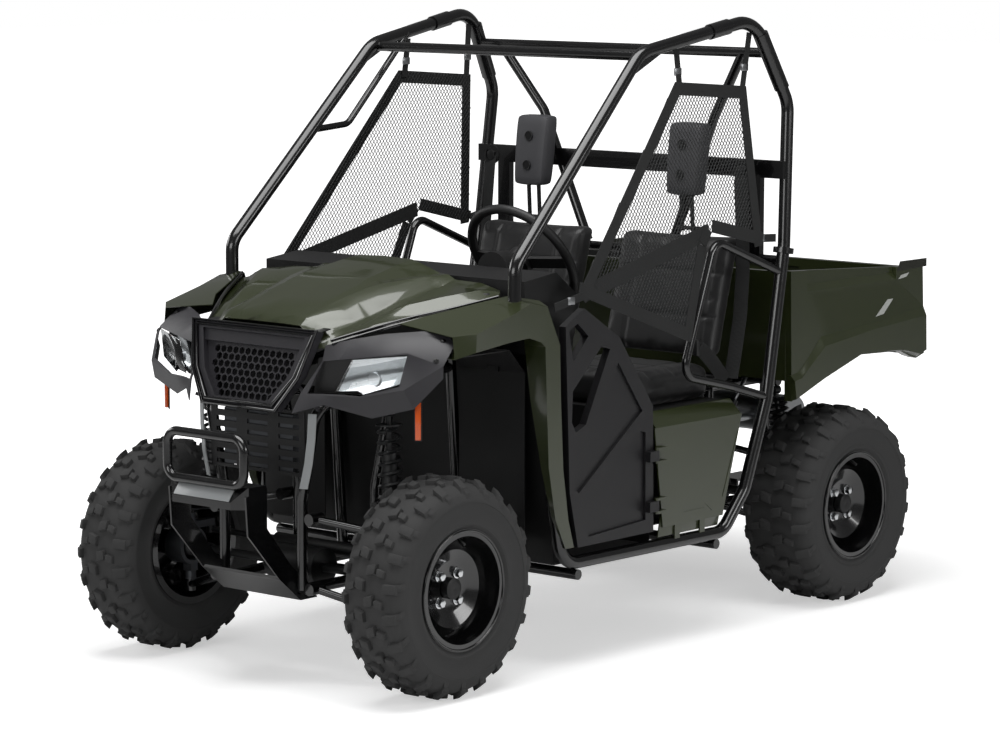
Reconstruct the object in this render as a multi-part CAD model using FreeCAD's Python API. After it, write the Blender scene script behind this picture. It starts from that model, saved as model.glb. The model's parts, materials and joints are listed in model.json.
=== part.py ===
import FreeCAD, Part
import math
import os

from FreeCAD import Vector

# A side by side utility vehicle for two, in millimetres. +Z is up, the front looks towards -Y,
# the driver sits on the +X side and the floor is at Z = 0. A piece that exists on both sides
# is drawn once for the +X side and mirrored.

# Driving sizes
wheelbase = 1854.0
front_axle_y = -944.0
rear_axle_y = front_axle_y + wheelbase
tyre_radius = 305.0
axle_z = tyre_radius
nose_y = front_axle_y - 391.0
tail_y = rear_axle_y + 425.0
body_half_width = 600.0
seat_gap = 0.3
clear_gap = 6.0
trim_gap = 0.5
overrun = 5.0

# Tyres and rims
lug_height = 13.0
front_tyre_width = 210.0
front_tyre_x = 517.0
front_rim_width = 178.0
rear_tyre_width = 254.0
rear_tyre_x = 505.0
rear_rim_width = 203.0
bead_radius = 152.4
flange_radius = 169.0
flange_thickness = 6.0
rim_wall = 3.5
rim_well_depth = 12.0
rim_well_shares = (-0.45, -0.3, 0.1, 0.25)
tyre_facets = 30
tyre_foot_play = 1.0
tyre_belly_radius = 252.0
tyre_tread_inset = 44.0
lug_root_depth = 9.0
lug_length = 38.0
lug_skew = 8.0
lug_centre_shares = (0.03, 0.36)
lug_shoulder_shares = (0.60, 0.93)
lug_shoulder_drop = 22.0
lug_shoulder_root = 42.0
lug_shoulder_length = 36.0
disc_crown_radius = 108.0
disc_foot_radius = 66.0
disc_crown_rise = 20.0
disc_thickness = 4.0
disc_face_x = 552.0
hub_radius = 36.0
hub_start_x = 498.0
hub_cap_radius = 27.0
hub_cap_length = 24.0
nut_radius = 9.0
nut_length = 16.0
nut_circle_radius = 52.0
nut_count = 4

# Knuckles, hub carriers and steering
kingpin_x = 440.0
spindle_radius = 16.0
spindle_end_inset = 6.0
bearing_gap = 0.3
cup_radius = 54.0
cup_bore_radius = 42.0
cup_mouth_inset = 15.0
cup_depth = 57.0
cup_floor = 10.0
ball_offset = 85.0
eye_height = 24.0
arm_eye_height = 34.0
eye_radius = 16.0
pin_gap = 0.5
ear_width = 28.0
steering_arm_length = 85.0
steering_arm_rise = 60.0
steering_arm_thickness = 20.0
steering_arm_width = 24.0
steering_eye_radius = 13.0
tie_rod_gap = 2.0
tie_rod_radius = 9.0
rack_radius = 12.0
rack_housing_radius = 22.0
rack_housing_half = 170.0
carrier_x = 405.0
carrier_ear_reach = 83.0

# Frame tubes
frame_radius = 16.0
base_cross_radius = 15.0
base_cross_inset = 4.0
rops_radius = 19.0
rops_bend = 70.0
rops_upper_bends = (70.0, 110.0, 110.0, 100.0, 70.0)
rocker_z = 306.0
rocker_x = body_half_width - 10.0
rail_x = 150.0
rail_z = rocker_z - rops_radius - seat_gap - frame_radius
pivot_reach = 150.0
front_head_z = 785.0
front_head_x = 205.0
front_head_bend_z = 520.0
cowl_tube_z = 1008.0
cowl_tube_y = -575.0
head_tube_end_z = 850.0
cowl_post_x = 230.0
rear_rail_z = 650.0
rear_rail_front_y = rear_axle_y - 430.0
rear_rail_end_y = rear_axle_y + 280.0
cross_tube_front_y = -420.0
cowl_post_foot_y = -520.0
cross_tube_rear_y = 230.0
frame_bend = 60.0

# Suspension arms, shocks and shafts
bush_radius = 17.0
bush_length = 50.0
arm_radius = 11.0
upper_pivot_rise = 165.0
lower_pivot_drop = 30.0
front_shock_foot_x = 345.0
front_shock_top_x = 335.0
rear_shock_foot_x = 335.0
rear_shock_top_x = 300.0
shock_foot_rise = 34.0
front_shock_top_z = 770.0
rear_shock_top_z = 638.0
shock_eye_radius = 14.0
shock_eye_length = 30.0
shock_spring_radius = 36.0
shock_body_radius = 21.0
shock_rod_radius = 8.0
shock_body_share = 0.62
spring_low_share = 0.17
spring_high_share = 0.13
spring_seat_thickness = 4.0
spring_coil_radius = 30.0
spring_wire_radius = 5.5
spring_turns = 6.5
spring_steps = 12
spring_sides = 5
shaft_radius = 12.0
joint_ball_radius = 34.0
boot_small_radius = 16.0
boot_large_radius = 22.0
boot_length = 70.0
gearcase_half = 92.0
gearcase_radius = 54.0
prop_shaft_radius = 14.0

# Engine, exhaust and cooling
engine_x = 122.0
engine_front_y = 330.0
engine_rear_y = rear_axle_y - 210.0
engine_top_z = 620.0
muffler_radius = 62.0
muffler_half = 190.0
muffler_y = rear_axle_y + 258.0
muffler_z = 520.0
exhaust_radius = 20.0
guard_x = 180.0
guard_low_z = 590.0
guard_top_z = 772.0
guard_thickness = 4.0
guard_slot_width = 78.0
guard_slot_height = 12.0
guard_columns = 3
guard_rows = 6

# Roll cage, as tube corners on the +X side
foot_x = body_half_width - 54.0
foot_y = -656.0
foot_z = 1040.0
foot_plate = 64.0
foot_plate_thickness = 10.0
low_bend_z = 1164.0
top_bend_x = body_half_width - 81.0
top_bend_y = -70.0
top_bend_z = 1730.0
hoop_x = body_half_width - 45.0
hoop_y = 430.0
hoop_top_z = 1819.0
hoop_shoulder_x = body_half_width - 20.0
hoop_shoulder_y = 570.0
hoop_shoulder_z = 1565.0
pillar_x = body_half_width
pillar_y = 532.0
pillar_z = 1141.0
pillar_waist_y = 450.0
pillar_waist_z = 681.0
pillar_low_y = 345.0
pillar_low_z = 421.0
heel_y = 252.0
loop_corner_x = body_half_width - 26.0
loop_corner_y = -482.0
loop_rise_x = body_half_width - 44.0
loop_rise_y = -512.0
loop_rise_z = 560.0
loop_top_y = -535.0
loop_top_z = 900.0
front_cross_y = -50.0
front_cross_z = 1722.0
rear_cross_y = 485.0
rear_cross_z = 1716.0
brace_radius = 15.0
brace_top_x = body_half_width - 125.0
brace_bend_x = 335.0
brace_bend_z = 1512.0
brace_foot_x = 165.0
brace_foot_z = 1110.0
brace_foot_y = 545.0
brace_bend_y = 530.0
belt_bar_low_z = 1340.0
belt_bar_height = 53.0
belt_bar_thickness = 22.0
belt_post_x = pillar_x - 130.0
belt_post_width = 47.0
belt_post_low_z = 1080.0
shelf_tube_z = 1092.0
grab_radius = 10.0
grab_points = ((-331.0, 1478.0), (-168.0, 1490.0), (90.0, 1757.0))
grab_bend = 45.0
sleeve_radius = 23.0
sleeve_shares = ((0.60, 0.76), (0.18, 0.82))
collar_radius = 31.0
collar_half = 8.0
collar_z = 1126.0
gusset_shares = (0.85, 0.30)
gusset_thickness = 6.0

# Hip bars and side nets
hip_radius = 12.7
hip_x = body_half_width - 15.0
hip_bend = 45.0
hip_top_y = 205.0
hip_top_z = 1178.0
hip_front_y = 57.0
hip_front_z = 791.0
hip_low_y = 291.0
hip_low_z = 737.0
hip_back_z = 1060.0
hip_foot_z = 690.0
net_thickness = 3.0
net_low_x = body_half_width + 4.0
net_top_x = body_half_width - 63.0
net_low_z = 886.0
net_top_z = 1644.0
net_front_y = -428.0
net_rear_y = 450.0
net_outline_shares = (
    (0.0, 0.24), (0.569, 1.0), (0.957, 0.968), (1.0, 0.342), (0.721, 0.414), (0.683, 0.359), (0.567, 0.005),
)
net_hanger_radius = 6.0
net_hanger_share = 0.03
net_border = 34.0
net_hole = 27.0
net_strand = 9.0
net_strap_foot_share = (0.10, 0.24)
net_strap_head_share = (1.0, 0.60)
net_strap_width = 46.0

# Bonnet and nose
panel_thickness = 3.0
bonnet_rear_y = -585.0
bonnet_front_y = -1094.0
bonnet_half_width = body_half_width - 95.0
bonnet_low_z = 960.0
bonnet_high_z = 1146.0
bonnet_row_shares = (
    ((0.0, 1.0, 0.235), (0.15, 1.0, 0.235), (0.29, 1.0, 0.225), (0.35, 1.0, 0.12),
     (0.39, 1.0, 0.10), (0.43, 1.0, 0.0)),
    ((0.0, 0.96, 0.36), (0.20, 0.95, 0.35), (0.34, 0.95, 0.33), (0.41, 0.95, 0.17),
     (0.45, 0.95, 0.13), (0.48, 0.96, 0.03)),
    ((0.0, 0.64, 0.62), (0.25, 0.64, 0.61), (0.38, 0.64, 0.58), (0.45, 0.64, 0.44),
     (0.57, 0.64, 0.44), (0.69, 0.64, 0.31)),
    ((0.0, 0.41, 0.80), (0.25, 0.41, 0.79), (0.40, 0.41, 0.76), (0.47, 0.41, 0.64),
     (0.65, 0.41, 0.60), (0.85, 0.41, 0.44)),
    ((0.0, 0.16, 0.93), (0.25, 0.16, 0.91), (0.42, 0.16, 0.88), (0.50, 0.16, 0.80),
     (0.72, 0.16, 0.74), (0.98, 0.16, 0.60)),
    ((0.0, 0.0, 1.0), (0.25, 0.0, 0.98), (0.42, 0.0, 0.93), (0.55, 0.0, 0.87), (0.72, 0.0, 0.80),
     (0.86, 0.0, 0.66)),
)
bonnet_rest_x = (80.0, 120.0)
bonnet_rest_y = (-592.0, -586.0)
grille_top_z = 1000.0
grille_low_z = 780.0
grille_top_y = -1121.0
grille_low_y = -1186.0
grille_depth = 26.0
grille_top_half = 236.0
grille_low_half = 140.0
grille_rim = 40.0
grille_bulge = 20.0
grille_foot_share = 0.55
grille_groove = (13.0, 20.0)
grille_groove_depth = 9.0
grille_shoulder_share = 0.42
name_bar_share = 0.24
mesh_depth = 8.0
mesh_hole_radius = 11.0
mesh_strip = 4.5
mesh_top_half = 165.0
head_bend_point = (202.6, -1079.0, 772.0)
grille_stay_point = (167.0, -1145.0, 865.0)
fascia_stay_point = (234.0, -1121.0, 787.0)
fascia_wing_seat = ((450.0, 520.0), (-925.3, -880.0), (998.7, 1010.0))
stay_radius = 5.0

# Fascias, lamps and front wings
fascia_inner_x = 196.0
fascia_outer_x = body_half_width - 48.0
fascia_front_y = -1182.0
fascia_rear_y = -899.0
fascia_low_z = 765.0
fascia_high_z = 1002.0
fascia_row_shares = (
    ((0.10, 0.65, 0.81), (0.11, 0.71, 0.63), (0.04, 0.92, 0.28), (0.00, 1.00, 0.05)),
    ((0.26, 0.48, 0.88), (0.22, 0.62, 0.65), (0.19, 0.81, 0.26), (0.19, 0.80, 0.15)),
    ((0.46, 0.28, 0.94), (0.49, 0.54, 0.71), (0.47, 0.67, 0.26), (0.50, 0.54, 0.01)),
    ((0.66, 0.13, 0.97), (0.78, 0.43, 0.78), (0.81, 0.52, 0.37), (0.85, 0.43, 0.15)),
    ((0.85, 0.00, 1.00), (0.98, 0.02, 0.86), (1.00, 0.22, 0.63), (0.98, 0.20, 0.49)),
)
lamp_depth = 60.0
lamp_gap = 0.8
lamp_recess = 22.0
lamp_shares = (
    (0.256, 0.731, 0.308), (0.382, 0.657, 0.679), (0.789, 0.424, 0.747), (0.730, 0.459, 0.422),
    (0.463, 0.611, 0.287),
    (0.424, 0.636, 0.325),
)
bezel_shares = (
    (0.090, 0.836, 0.283), (0.120, 0.816, 0.633), (0.789, 0.424, 0.764), (0.770, 0.435, 0.409),
    (0.466, 0.608, 0.274),
    (0.292, 0.710, 0.283),
)
wing_inner_x = 340.0
wing_front_y = -925.0
wing_rear_y = -458.0
wing_low_z = 356.0
wing_high_z = 1082.0
wing_row_shares = (
    ((0.08, 0.0, 0.905), (0.82, 0.0, 0.875), (0.85, 0.0, 0.79), (0.70, 0.0, 0.79)),
    ((0.28, 0.14, 0.935), (1.0, 0.10, 0.885), (0.99, 0.10, 0.815), (0.76, 0.10, 0.82)),
    ((0.50, 0.40, 0.97), (1.0, 0.40, 0.935), (0.99, 0.40, 0.835), (0.76, 0.40, 0.84)),
    ((0.68, 0.58, 0.995), (1.0, 0.58, 0.972), (0.99, 0.58, 0.842), (0.74, 0.58, 0.85)),
    ((0.885, 0.74, 0.975), (1.0, 0.74, 0.955), (0.99, 0.69, 0.82), (0.72, 0.71, 0.825)),
    ((0.94, 0.86, 0.80), (1.0, 0.86, 0.80), (0.99, 0.73, 0.80), (0.66, 0.755, 0.795)),
    ((0.975, 0.87, 0.587), (1.0, 0.87, 0.587), (0.99, 0.745, 0.587), (0.73, 0.765, 0.585)),
    ((0.975, 0.895, 0.313), (1.0, 0.895, 0.313), (0.99, 0.765, 0.33), (0.85, 0.785, 0.325)),
    ((0.975, 0.945, 0.113), (1.0, 0.945, 0.113), (0.99, 0.83, 0.122), (0.91, 0.85, 0.12)),
    ((0.975, 1.0, 0.0), (1.0, 1.0, 0.0), (0.99, 0.925, 0.0), (0.95, 0.94, 0.0)),
)
liner_thickness = 3.0
liner_crown = 70.0
liner_inner_x = 262.0
liner_outer_x = body_half_width - 95.0
liner_front_y = -905.0
liner_rear_y = -560.0
liner_high_z = 925.0
liner_low_z = 345.0
liner_tab_x = (380.0, 420.0)

# Bumper
bumper_radius = 13.0
bumper_bend = 38.0
bumper_half = 147.0
bumper_low_z = 585.0
bumper_top_z = 715.0
bumper_front_y = nose_y + 17.0
box_half = 150.0
box_plate_half = 106.0
box_plate_low_z = 541.0
box_corner = 36.0
box_low_z = 520.0
box_top_z = 580.0
box_rear_y = nose_y + 100.0
side_plate_thickness = 6.0
side_plate_x = 150.0
skid_low_z = 242.0
skid_thickness = 4.0
arm_front = ((21.0, 556.0), (29.0, 447.0), (147.0, 316.0))
arm_rear = ((190.0, 352.0), (103.0, 460.0), (103.0, 573.0))
arm_foot_z = (250.0, 320.0)
skid_front = (150.0, 312.0)
skid_knee = 234.0
skid_rear_y = nose_y + 300.0

# Cab
floor_z = 306.0
floor_thickness = 4.0
floor_half = body_half_width - 52.0
floor_foot = 15.0
floor_foot_ys = (-370.0, -80.0)
tunnel_half = 40.0
tunnel_height = 30.0
floor_front_y = -480.0
toe_top_y = -526.0
toe_top_z = 700.0
wall_top_z = 900.0
riser_y = -50.0
deck_z = 690.0
deck_rear_y = 325.0
dash_half = body_half_width - 100.0
dash_front_y = cowl_tube_y + frame_radius + seat_gap
dash_rear_y = -330.0
dash_low_z = 905.0
dash_high_z = 1125.0
dash_wall = 4.0
dash_crown_share = 0.6
dash_face_share = 0.7
pod_radius = 58.0
pod_y = (-405.0, -345.0)
pod_z = 1108.0
pod_depth = 8.0
side_panel_thickness = 5.0
side_panel_front_y = -91.0
side_panel_rear_y = 330.0
side_panel_low_z = 359.0
side_panel_high_z = 700.0
side_panel_tab_ys = (20.0, 140.0)
side_panel_tab_width = 24.0
side_panel_ledge = (40.0, 46.0)
side_panel_recess_depth = 1.5
side_panel_flange_inset = 6.0
side_panel_outline_shares = ((0.0, 0.865), (1.0, 0.865), (0.784, 0.0), (0.098, 0.0))
side_panel_recess_shares = (
    ((0.958, 0.724), (0.842, 0.672), (0.726, 0.267), (0.781, 0.161)),
    ((0.326, 0.097), (0.372, 0.132), (0.581, 0.132), (0.663, 0.062), (0.633, 0.062), (0.570, 0.100)),
)
door_thickness = 24.0
door_rear_y = -94.0
door_front_y = -499.0
door_low_z = 353.0
door_high_z = 1040.0
door_outline_shares = (
    (0.0, 0.920), (0.205, 0.985), (0.598, 0.846), (0.983, 0.537), (1.0, 0.0), (0.146, 0.0), (0.052, 0.234),
)
door_opening_shares = (
    ((0.037, 0.901), (0.131, 0.927), (0.249, 0.869), (0.086, 0.774)),
    ((0.393, 0.818), (0.491, 0.803), (0.225, 0.505), (0.116, 0.479), (0.072, 0.523), (0.081, 0.651)),
)
door_recess_shares = (
    ((0.585, 0.741), (0.862, 0.523), (0.156, 0.226), (0.109, 0.243), (0.109, 0.403), (0.281, 0.464)),
    ((0.842, 0.440), (0.901, 0.429), (0.906, 0.057), (0.264, 0.036), (0.195, 0.144)),
)
door_recess_depth = 8.0
door_hinge_zs = (429.0, 576.0)
hinge_offset_x = 9.0
hinge_offset_y = 3.0
hinge_pin_radius = 4.0
hinge_barrel_radius = 7.0
hinge_barrel_height = 30.0
hinge_lug_height = 8.0
hinge_strap_reach = 40.0
steering_wheel_x = 250.0
steering_wheel_y = -270.0
steering_wheel_z = 1137.0
steering_wheel_radius = 175.0
steering_rim_radius = 14.0
steering_tilt = 32.0
steering_hub_radius = 42.0
steering_hub_depth = 36.0
spoke_width = 34.0
spoke_thickness = 12.0
spoke_angles = (0.0, 180.0, 270.0)
column_radius = 20.0
column_length = 230.0
pedal_width = 60.0
pedal_height = 70.0
pedal_thickness = 8.0
pedal_x = (215.0, 330.0)
pedal_z = 470.0
pedal_y = -482.0
pedal_arm_radius = 7.0
pedal_pivot_z = 640.0

# Seats
seat_inner_x = 62.0
seat_outer_x = body_half_width - 100.0
cushion_front_y = -40.0
cushion_rear_y = 330.0
cushion_height = 105.0
cushion_round = 22.0
seat_back_round = 24.0
headrest_round = 13.0
seat_back_low_z = deck_z + cushion_height + seat_gap
seat_back_high_z = 1177.0
seat_back_low_y = 300.0
seat_back_high_y = 405.0
seat_back_thickness = 85.0
headrest_inner_x = seat_outer_x - 264.0
headrest_outer_x = seat_outer_x - 134.0
headrest_low_z = 1277.0
headrest_high_z = 1504.0
headrest_low_y = 400.0
headrest_high_y = 425.0
headrest_thickness = 70.0
headrest_hole_radius = 13.0
headrest_hole_depth = 20.0
headrest_hole_shares = (0.3, 0.7)
headrest_post_radius = 10.0

# Load bed
bed_half_width = body_half_width - 25.0
bed_wall = 27.0
bed_front_y = rear_axle_y - 305.0
bed_floor_z = 770.0
bed_floor_thickness = 8.0
bed_low_z = 656.0
bed_high_z = 1055.0
bed_side_outline_shares = (
    (0.0, 1.0), (0.979, 0.907), (0.988, 0.591), (1.0, 0.361), (1.0, 0.206), (0.938, 0.175),
    (0.884, 0.201), (0.815, 0.253),
    (0.500, 0.276), (0.223, 0.130), (0.016, 0.0),
)
bed_flare_reach = 15.0
bed_flare_shares = (
    (0.010, 0.160), (0.060, 0.175), (0.226, 0.393), (0.605, 0.469), (0.984, 0.514), (0.990, 0.236),
    (0.938, 0.211),
    (0.815, 0.266), (0.500, 0.288), (0.223, 0.143), (0.023, 0.020),
)
bed_flare_root_shares = (
    (0.007, 0.201), (0.070, 0.223), (0.221, 0.466), (0.675, 0.526), (0.988, 0.586), (0.997, 0.221),
    (0.938, 0.185),
    (0.815, 0.256), (0.500, 0.278), (0.223, 0.133), (0.018, 0.005),
)
bed_strip_ys = (bed_front_y + 85.0, bed_front_y + 565.0)
bed_strip_zs = (986.0, 1008.0)
bed_strip_depth = 14.0
gate_thickness = 28.0
gate_low_z = 792.0
gate_high_z = 1018.0
gate_low_y = rear_axle_y + 382.0
gate_lean = 38.0
gate_pocket_half = 38.0
gate_pocket_height = 26.0
gate_pocket_z = 978.0
gate_pocket_depth = 7.0
gate_pocket_xs = (-380.0, -220.0, -60.0, 100.0, 260.0, 420.0)
gate_pin_radius = 6.0
gate_pin_reach = 14.0
sill_depth = 25.0
sill_rear_y = rear_axle_y + 415.0
sill_low_z = 735.0
bed_rail_inner_x = 172.0
bed_rail_width = 30.0
bed_rail_height = 52.0
bed_rail_front_y = rear_axle_y - 250.0
bed_pivot_y = rear_axle_y + 255.0
bed_pivot_z = 698.0
bed_pin_radius = 8.0
bed_ear_thickness = 10.0
bed_ear_half = 16.0
lug_plate_thickness = 14.0
strut_x = 214.0
strut_foot_y = rear_axle_y - 270.0
strut_foot_z = 430.0
strut_head_y = rear_axle_y + 20.0
strut_head_z = 735.0
strut_body_radius = 14.0
strut_bore_radius = 6.5
strut_rod_radius = 6.0
strut_body_share = 0.58
strut_eye_radius = 11.0
strut_eye_width = 14.0
strut_pin_radius = 5.0
strut_pin_gap = 0.5
strut_post_radius = 12.0
tail_lamp_inner_x = bed_half_width - 135.0
tail_lamp_outer_x = bed_half_width - 45.0
tail_lamp_low_z = 742.0
tail_lamp_high_z = 774.0
tail_lamp_depth = 9.0
radiator_half = 132.0
radiator_low_z = 600.0
radiator_top_z = 758.0
radiator_depth = 34.0
bracket_half = 10.0
hitch_hole_radius = 9.75
hitch_plate_half = 45.0
hitch_plate_thickness = 8.0
hitch_plate_z = 300.0
hitch_plate_end_y = rear_axle_y + 290.0


def polygon(points):
    corners = [Vector(*p) for p in points]
    return Part.makePolygon(corners + corners[:1])


def prism(points, travel):
    return Part.Face(polygon(points)).extrude(Vector(*travel))


def side_prism(outline, low, high):
    return prism([(low, y, z) for y, z in outline], (high - low, 0, 0))


def cross_prism(outline, low, high):
    return prism([(x, low, z) for x, z in outline], (0, high - low, 0))


def flat_prism(outline, low, high):
    return prism([(x, y, low) for x, y in outline], (0, 0, high - low))


def block(xs, ys, zs):
    size = (xs[1] - xs[0], ys[1] - ys[0], zs[1] - zs[0])
    return Part.makeBox(*size, Vector(xs[0], ys[0], zs[0]))


def rod(start, end, radius):
    a, b = Vector(*start), Vector(*end)
    return Part.makeCylinder(radius, (b - a).Length, a, b - a)


def cone(start, end, start_radius, end_radius):
    a, b = Vector(*start), Vector(*end)
    return Part.makeCone(start_radius, end_radius, (b - a).Length, a, b - a)


def tube_path(points, bends):
    corners = [Vector(*p) for p in points]
    if not isinstance(bends, tuple):
        bends = (bends,) * (len(points) - 2)
    edges = []
    start = corners[0]
    for before, corner, after, bend in zip(corners, corners[1:], corners[2:], bends):
        into = (corner - before).normalize()
        out = (after - corner).normalize()
        turn = into.getAngle(out)
        reach = min(bend * math.tan(turn / 2), (corner - start).Length, (after - corner).Length / 2)
        radius = reach / math.tan(turn / 2)
        middle = corner + (out - into).normalize() * (radius / math.cos(turn / 2))
        crown = middle + (corner - middle).normalize() * radius
        first, last = corner - into * reach, corner + out * reach
        edges.append(Part.LineSegment(start, first).toShape())
        edges.append(Part.Arc(first, crown, last).toShape())
        start = last
    edges.append(Part.LineSegment(start, corners[-1]).toShape())
    return Part.Wire(edges)


def tube(points, radius, bend):
    if len(points) == 2:
        return rod(points[0], points[1], radius)
    start, after = Vector(*points[0]), Vector(*points[1])
    ring = Part.Face(Part.Wire(Part.makeCircle(radius, start, after - start)))
    return tube_path(points, bend).makePipe(ring)


def turned(profile, y, z):
    face = Part.Face(polygon([(x, y, z + r) for x, r in profile]))
    return face.revolve(Vector(0, y, z), Vector(1, 0, 0), 360)


def mirrored(shape):
    return shape.mirror(Vector(0, 0, 0), Vector(1, 0, 0))


def both_sides(shape):
    return Part.makeCompound([shape, mirrored(shape)])


def fused(shapes):
    first, rest = shapes[0], shapes[1:]
    return first.fuse(list(rest)) if rest else first


def between(low, high, share):
    return low + (high - low) * share


def in_box(shares, xs, ys, zs):
    return (between(*xs, shares[0]), between(*ys, shares[1]), between(*zs, shares[2]))


def mirrored_point(point):
    return (-point[0], point[1], point[2])


def sheet(rows, thickness):
    """A folded sheet: rows of crease points on its outer face, and its thickness to the inside."""
    outer = [[Vector(*p) for p in row] for row in rows]
    tall, wide = len(outer), len(outer[0])

    def normal(i, j):
        total = Vector(0, 0, 0)
        for a, b in ((1, 1), (-1, 1), (-1, -1), (1, -1)):
            if 0 <= i + a < tall and 0 <= j + b < wide:
                along = outer[i + a][j] - outer[i][j]
                across = outer[i][j + b] - outer[i][j]
                total += along.cross(across) * (a * b)
        return total.normalize()

    inner = [[outer[i][j] - normal(i, j) * thickness for j in range(wide)] for i in range(tall)]
    faces = []

    def quad(a, b, c, d):
        faces.append(Part.Face(Part.makePolygon([a, b, c, a])))
        faces.append(Part.Face(Part.makePolygon([a, c, d, a])))

    for i in range(tall - 1):
        for j in range(wide - 1):
            for grid in (outer, inner):
                quad(grid[i][j], grid[i + 1][j], grid[i + 1][j + 1], grid[i][j + 1])
    for i in (0, tall - 1):
        for j in range(wide - 1):
            quad(outer[i][j], outer[i][j + 1], inner[i][j + 1], inner[i][j])
    for j in (0, wide - 1):
        for i in range(tall - 1):
            quad(outer[i][j], outer[i + 1][j], inner[i + 1][j], inner[i][j])
    solid = Part.makeSolid(Part.makeShell(faces))
    if solid.Volume < 0:
        solid.reverse()
    return solid


# Wheels

def faceted_ring(profile, count):
    """A ring of flat facets round the X axis through the (x, radius) corners of a closed profile."""
    turns = [2 * math.pi * (i + 0.5) / count for i in range(count)]
    corners = [[Vector(x, r * math.sin(turn), -r * math.cos(turn)) for x, r in profile] for turn in turns]
    faces = []
    for i in range(count):
        here, there = corners[i - 1], corners[i]
        for j in range(len(profile)):
            quad = [here[j - 1], here[j], there[j], there[j - 1]]
            faces.append(Part.Face(Part.makePolygon(quad + quad[:1])))
    return Part.makeSolid(Part.makeShell(faces))


def lug(x_low, x_high, foot, length, skew, low_tip, high_tip):
    """A tread block that points down, with its tips at two radii and its leading edge skewed."""
    half = length / 2
    tips = [
        (x_low, -half, low_tip), (x_high, skew - half, high_tip), (x_high, skew + half, high_tip),
        (x_low, half, low_tip),
    ]
    top = [Vector(x, y, -r) for x, y, r in tips]
    root = [Vector(x, y, -foot) for x, y, r in tips]
    faces = [Part.Face(Part.makePolygon(face + face[:1])) for face in (top, root)]
    for i in range(len(tips)):
        faces.append(Part.Face(Part.makePolygon([root[i - 1], root[i], top[i], top[i - 1], root[i - 1]])))
    return Part.makeSolid(Part.makeShell(faces))


def tyre(centre_x, width, rim_width, axle_y):
    half = width / 2
    foot = rim_width / 2 - seat_gap
    spread = 1 / math.cos(math.pi / tyre_facets)
    tread = tyre_radius - lug_height
    outer = (
        (foot, bead_radius * spread + tyre_foot_play),
        (foot, flange_radius * spread + tyre_foot_play),
        (half, tyre_belly_radius * spread),
        (half - tyre_tread_inset, tread * spread),
    )
    profile = list(outer) + [(-x, r) for x, r in reversed(outer)]
    body = faceted_ring(profile, tyre_facets)
    root = tread - lug_root_depth
    centre = [share * half for share in lug_centre_shares]
    shoulder = [share * half for share in lug_shoulder_shares]
    drop = tyre_radius - lug_shoulder_drop
    blocks = []
    for i in range(tyre_facets):
        side = 1 if i % 2 else -1
        inner = lug(side * centre[0], side * centre[1], root, lug_length, lug_skew, tyre_radius, tyre_radius)
        edge = lug(
            -side * shoulder[0], -side * shoulder[1], tyre_radius - lug_shoulder_root, lug_shoulder_length, 0,
            tyre_radius, drop)
        for piece in (inner, edge):
            piece.rotate(Vector(0, 0, 0), Vector(1, 0, 0), i * 360 / tyre_facets)
            blocks.append(piece)
    shape = body.multiFuse(blocks)
    shape.translate(Vector(centre_x, axle_y, axle_z))
    return shape


def rim(centre_x, rim_width, axle_y):
    half = rim_width / 2
    edge = half + flange_thickness
    well = [share * rim_width for share in rim_well_shares]
    well_radius = bead_radius - rim_well_depth
    barrel = [
        (-edge, flange_radius), (-half, flange_radius), (-half, bead_radius), (well[0], bead_radius),
        (well[1], well_radius), (well[2], well_radius), (well[3], bead_radius), (half, bead_radius),
        (half, flange_radius), (edge, flange_radius), (edge, bead_radius - rim_wall),
        (well[3], bead_radius - rim_wall), (well[2], well_radius - rim_wall),
        (well[1], well_radius - rim_wall), (well[0], bead_radius - rim_wall),
        (-edge, bead_radius - rim_wall),
    ]
    face = disc_face_x
    root_x = centre_x + well[2]
    root_radius = well_radius - rim_wall / 2
    dish = [
        (face, 0), (face, disc_foot_radius), (face + disc_crown_rise, disc_crown_radius),
        (root_x, root_radius), (root_x - disc_thickness, root_radius),
        (face + disc_crown_rise - disc_thickness, disc_crown_radius - disc_thickness),
        (face - disc_thickness, disc_foot_radius), (face - disc_thickness, 0),
    ]
    hub_end = hub_start_x
    bore_radius = spindle_radius + bearing_gap
    hub = [
        (hub_end, bore_radius), (hub_end, hub_radius), (face, hub_radius),
        (face, hub_cap_radius), (face + hub_cap_length, hub_cap_radius), (face + hub_cap_length, 0),
        (face + disc_thickness, 0), (face + disc_thickness, bore_radius),
    ]
    body = turned([(centre_x + x, r) for x, r in barrel], axle_y, axle_z)
    body = fused([body, turned(dish, axle_y, axle_z), turned(hub, axle_y, axle_z)])
    bore_end = (face + disc_thickness, axle_y, axle_z)
    body = body.cut(rod((hub_end - overrun, axle_y, axle_z), bore_end, bore_radius))
    nuts = []
    for index in range(nut_count):
        angle = math.radians(360 / nut_count * (index + 0.5))
        y = axle_y + nut_circle_radius * math.cos(angle)
        z = axle_z + nut_circle_radius * math.sin(angle)
        nuts.append(rod((face - disc_thickness / 2, y, z), (face + nut_length, y, z), nut_radius))
    return fused([body] + nuts)


# Knuckles and carriers

def spindle_cup(mouth_x, axle_y):
    floor_x = mouth_x + cup_depth
    end_x = floor_x + cup_floor
    tip_x = disc_face_x - spindle_end_inset
    profile = [
        (mouth_x, cup_bore_radius), (mouth_x, cup_radius), (end_x, cup_radius), (end_x, spindle_radius),
        (tip_x, spindle_radius), (tip_x, 0), (floor_x, 0), (floor_x, cup_bore_radius),
    ]
    return turned(profile, axle_y, axle_z)


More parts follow.
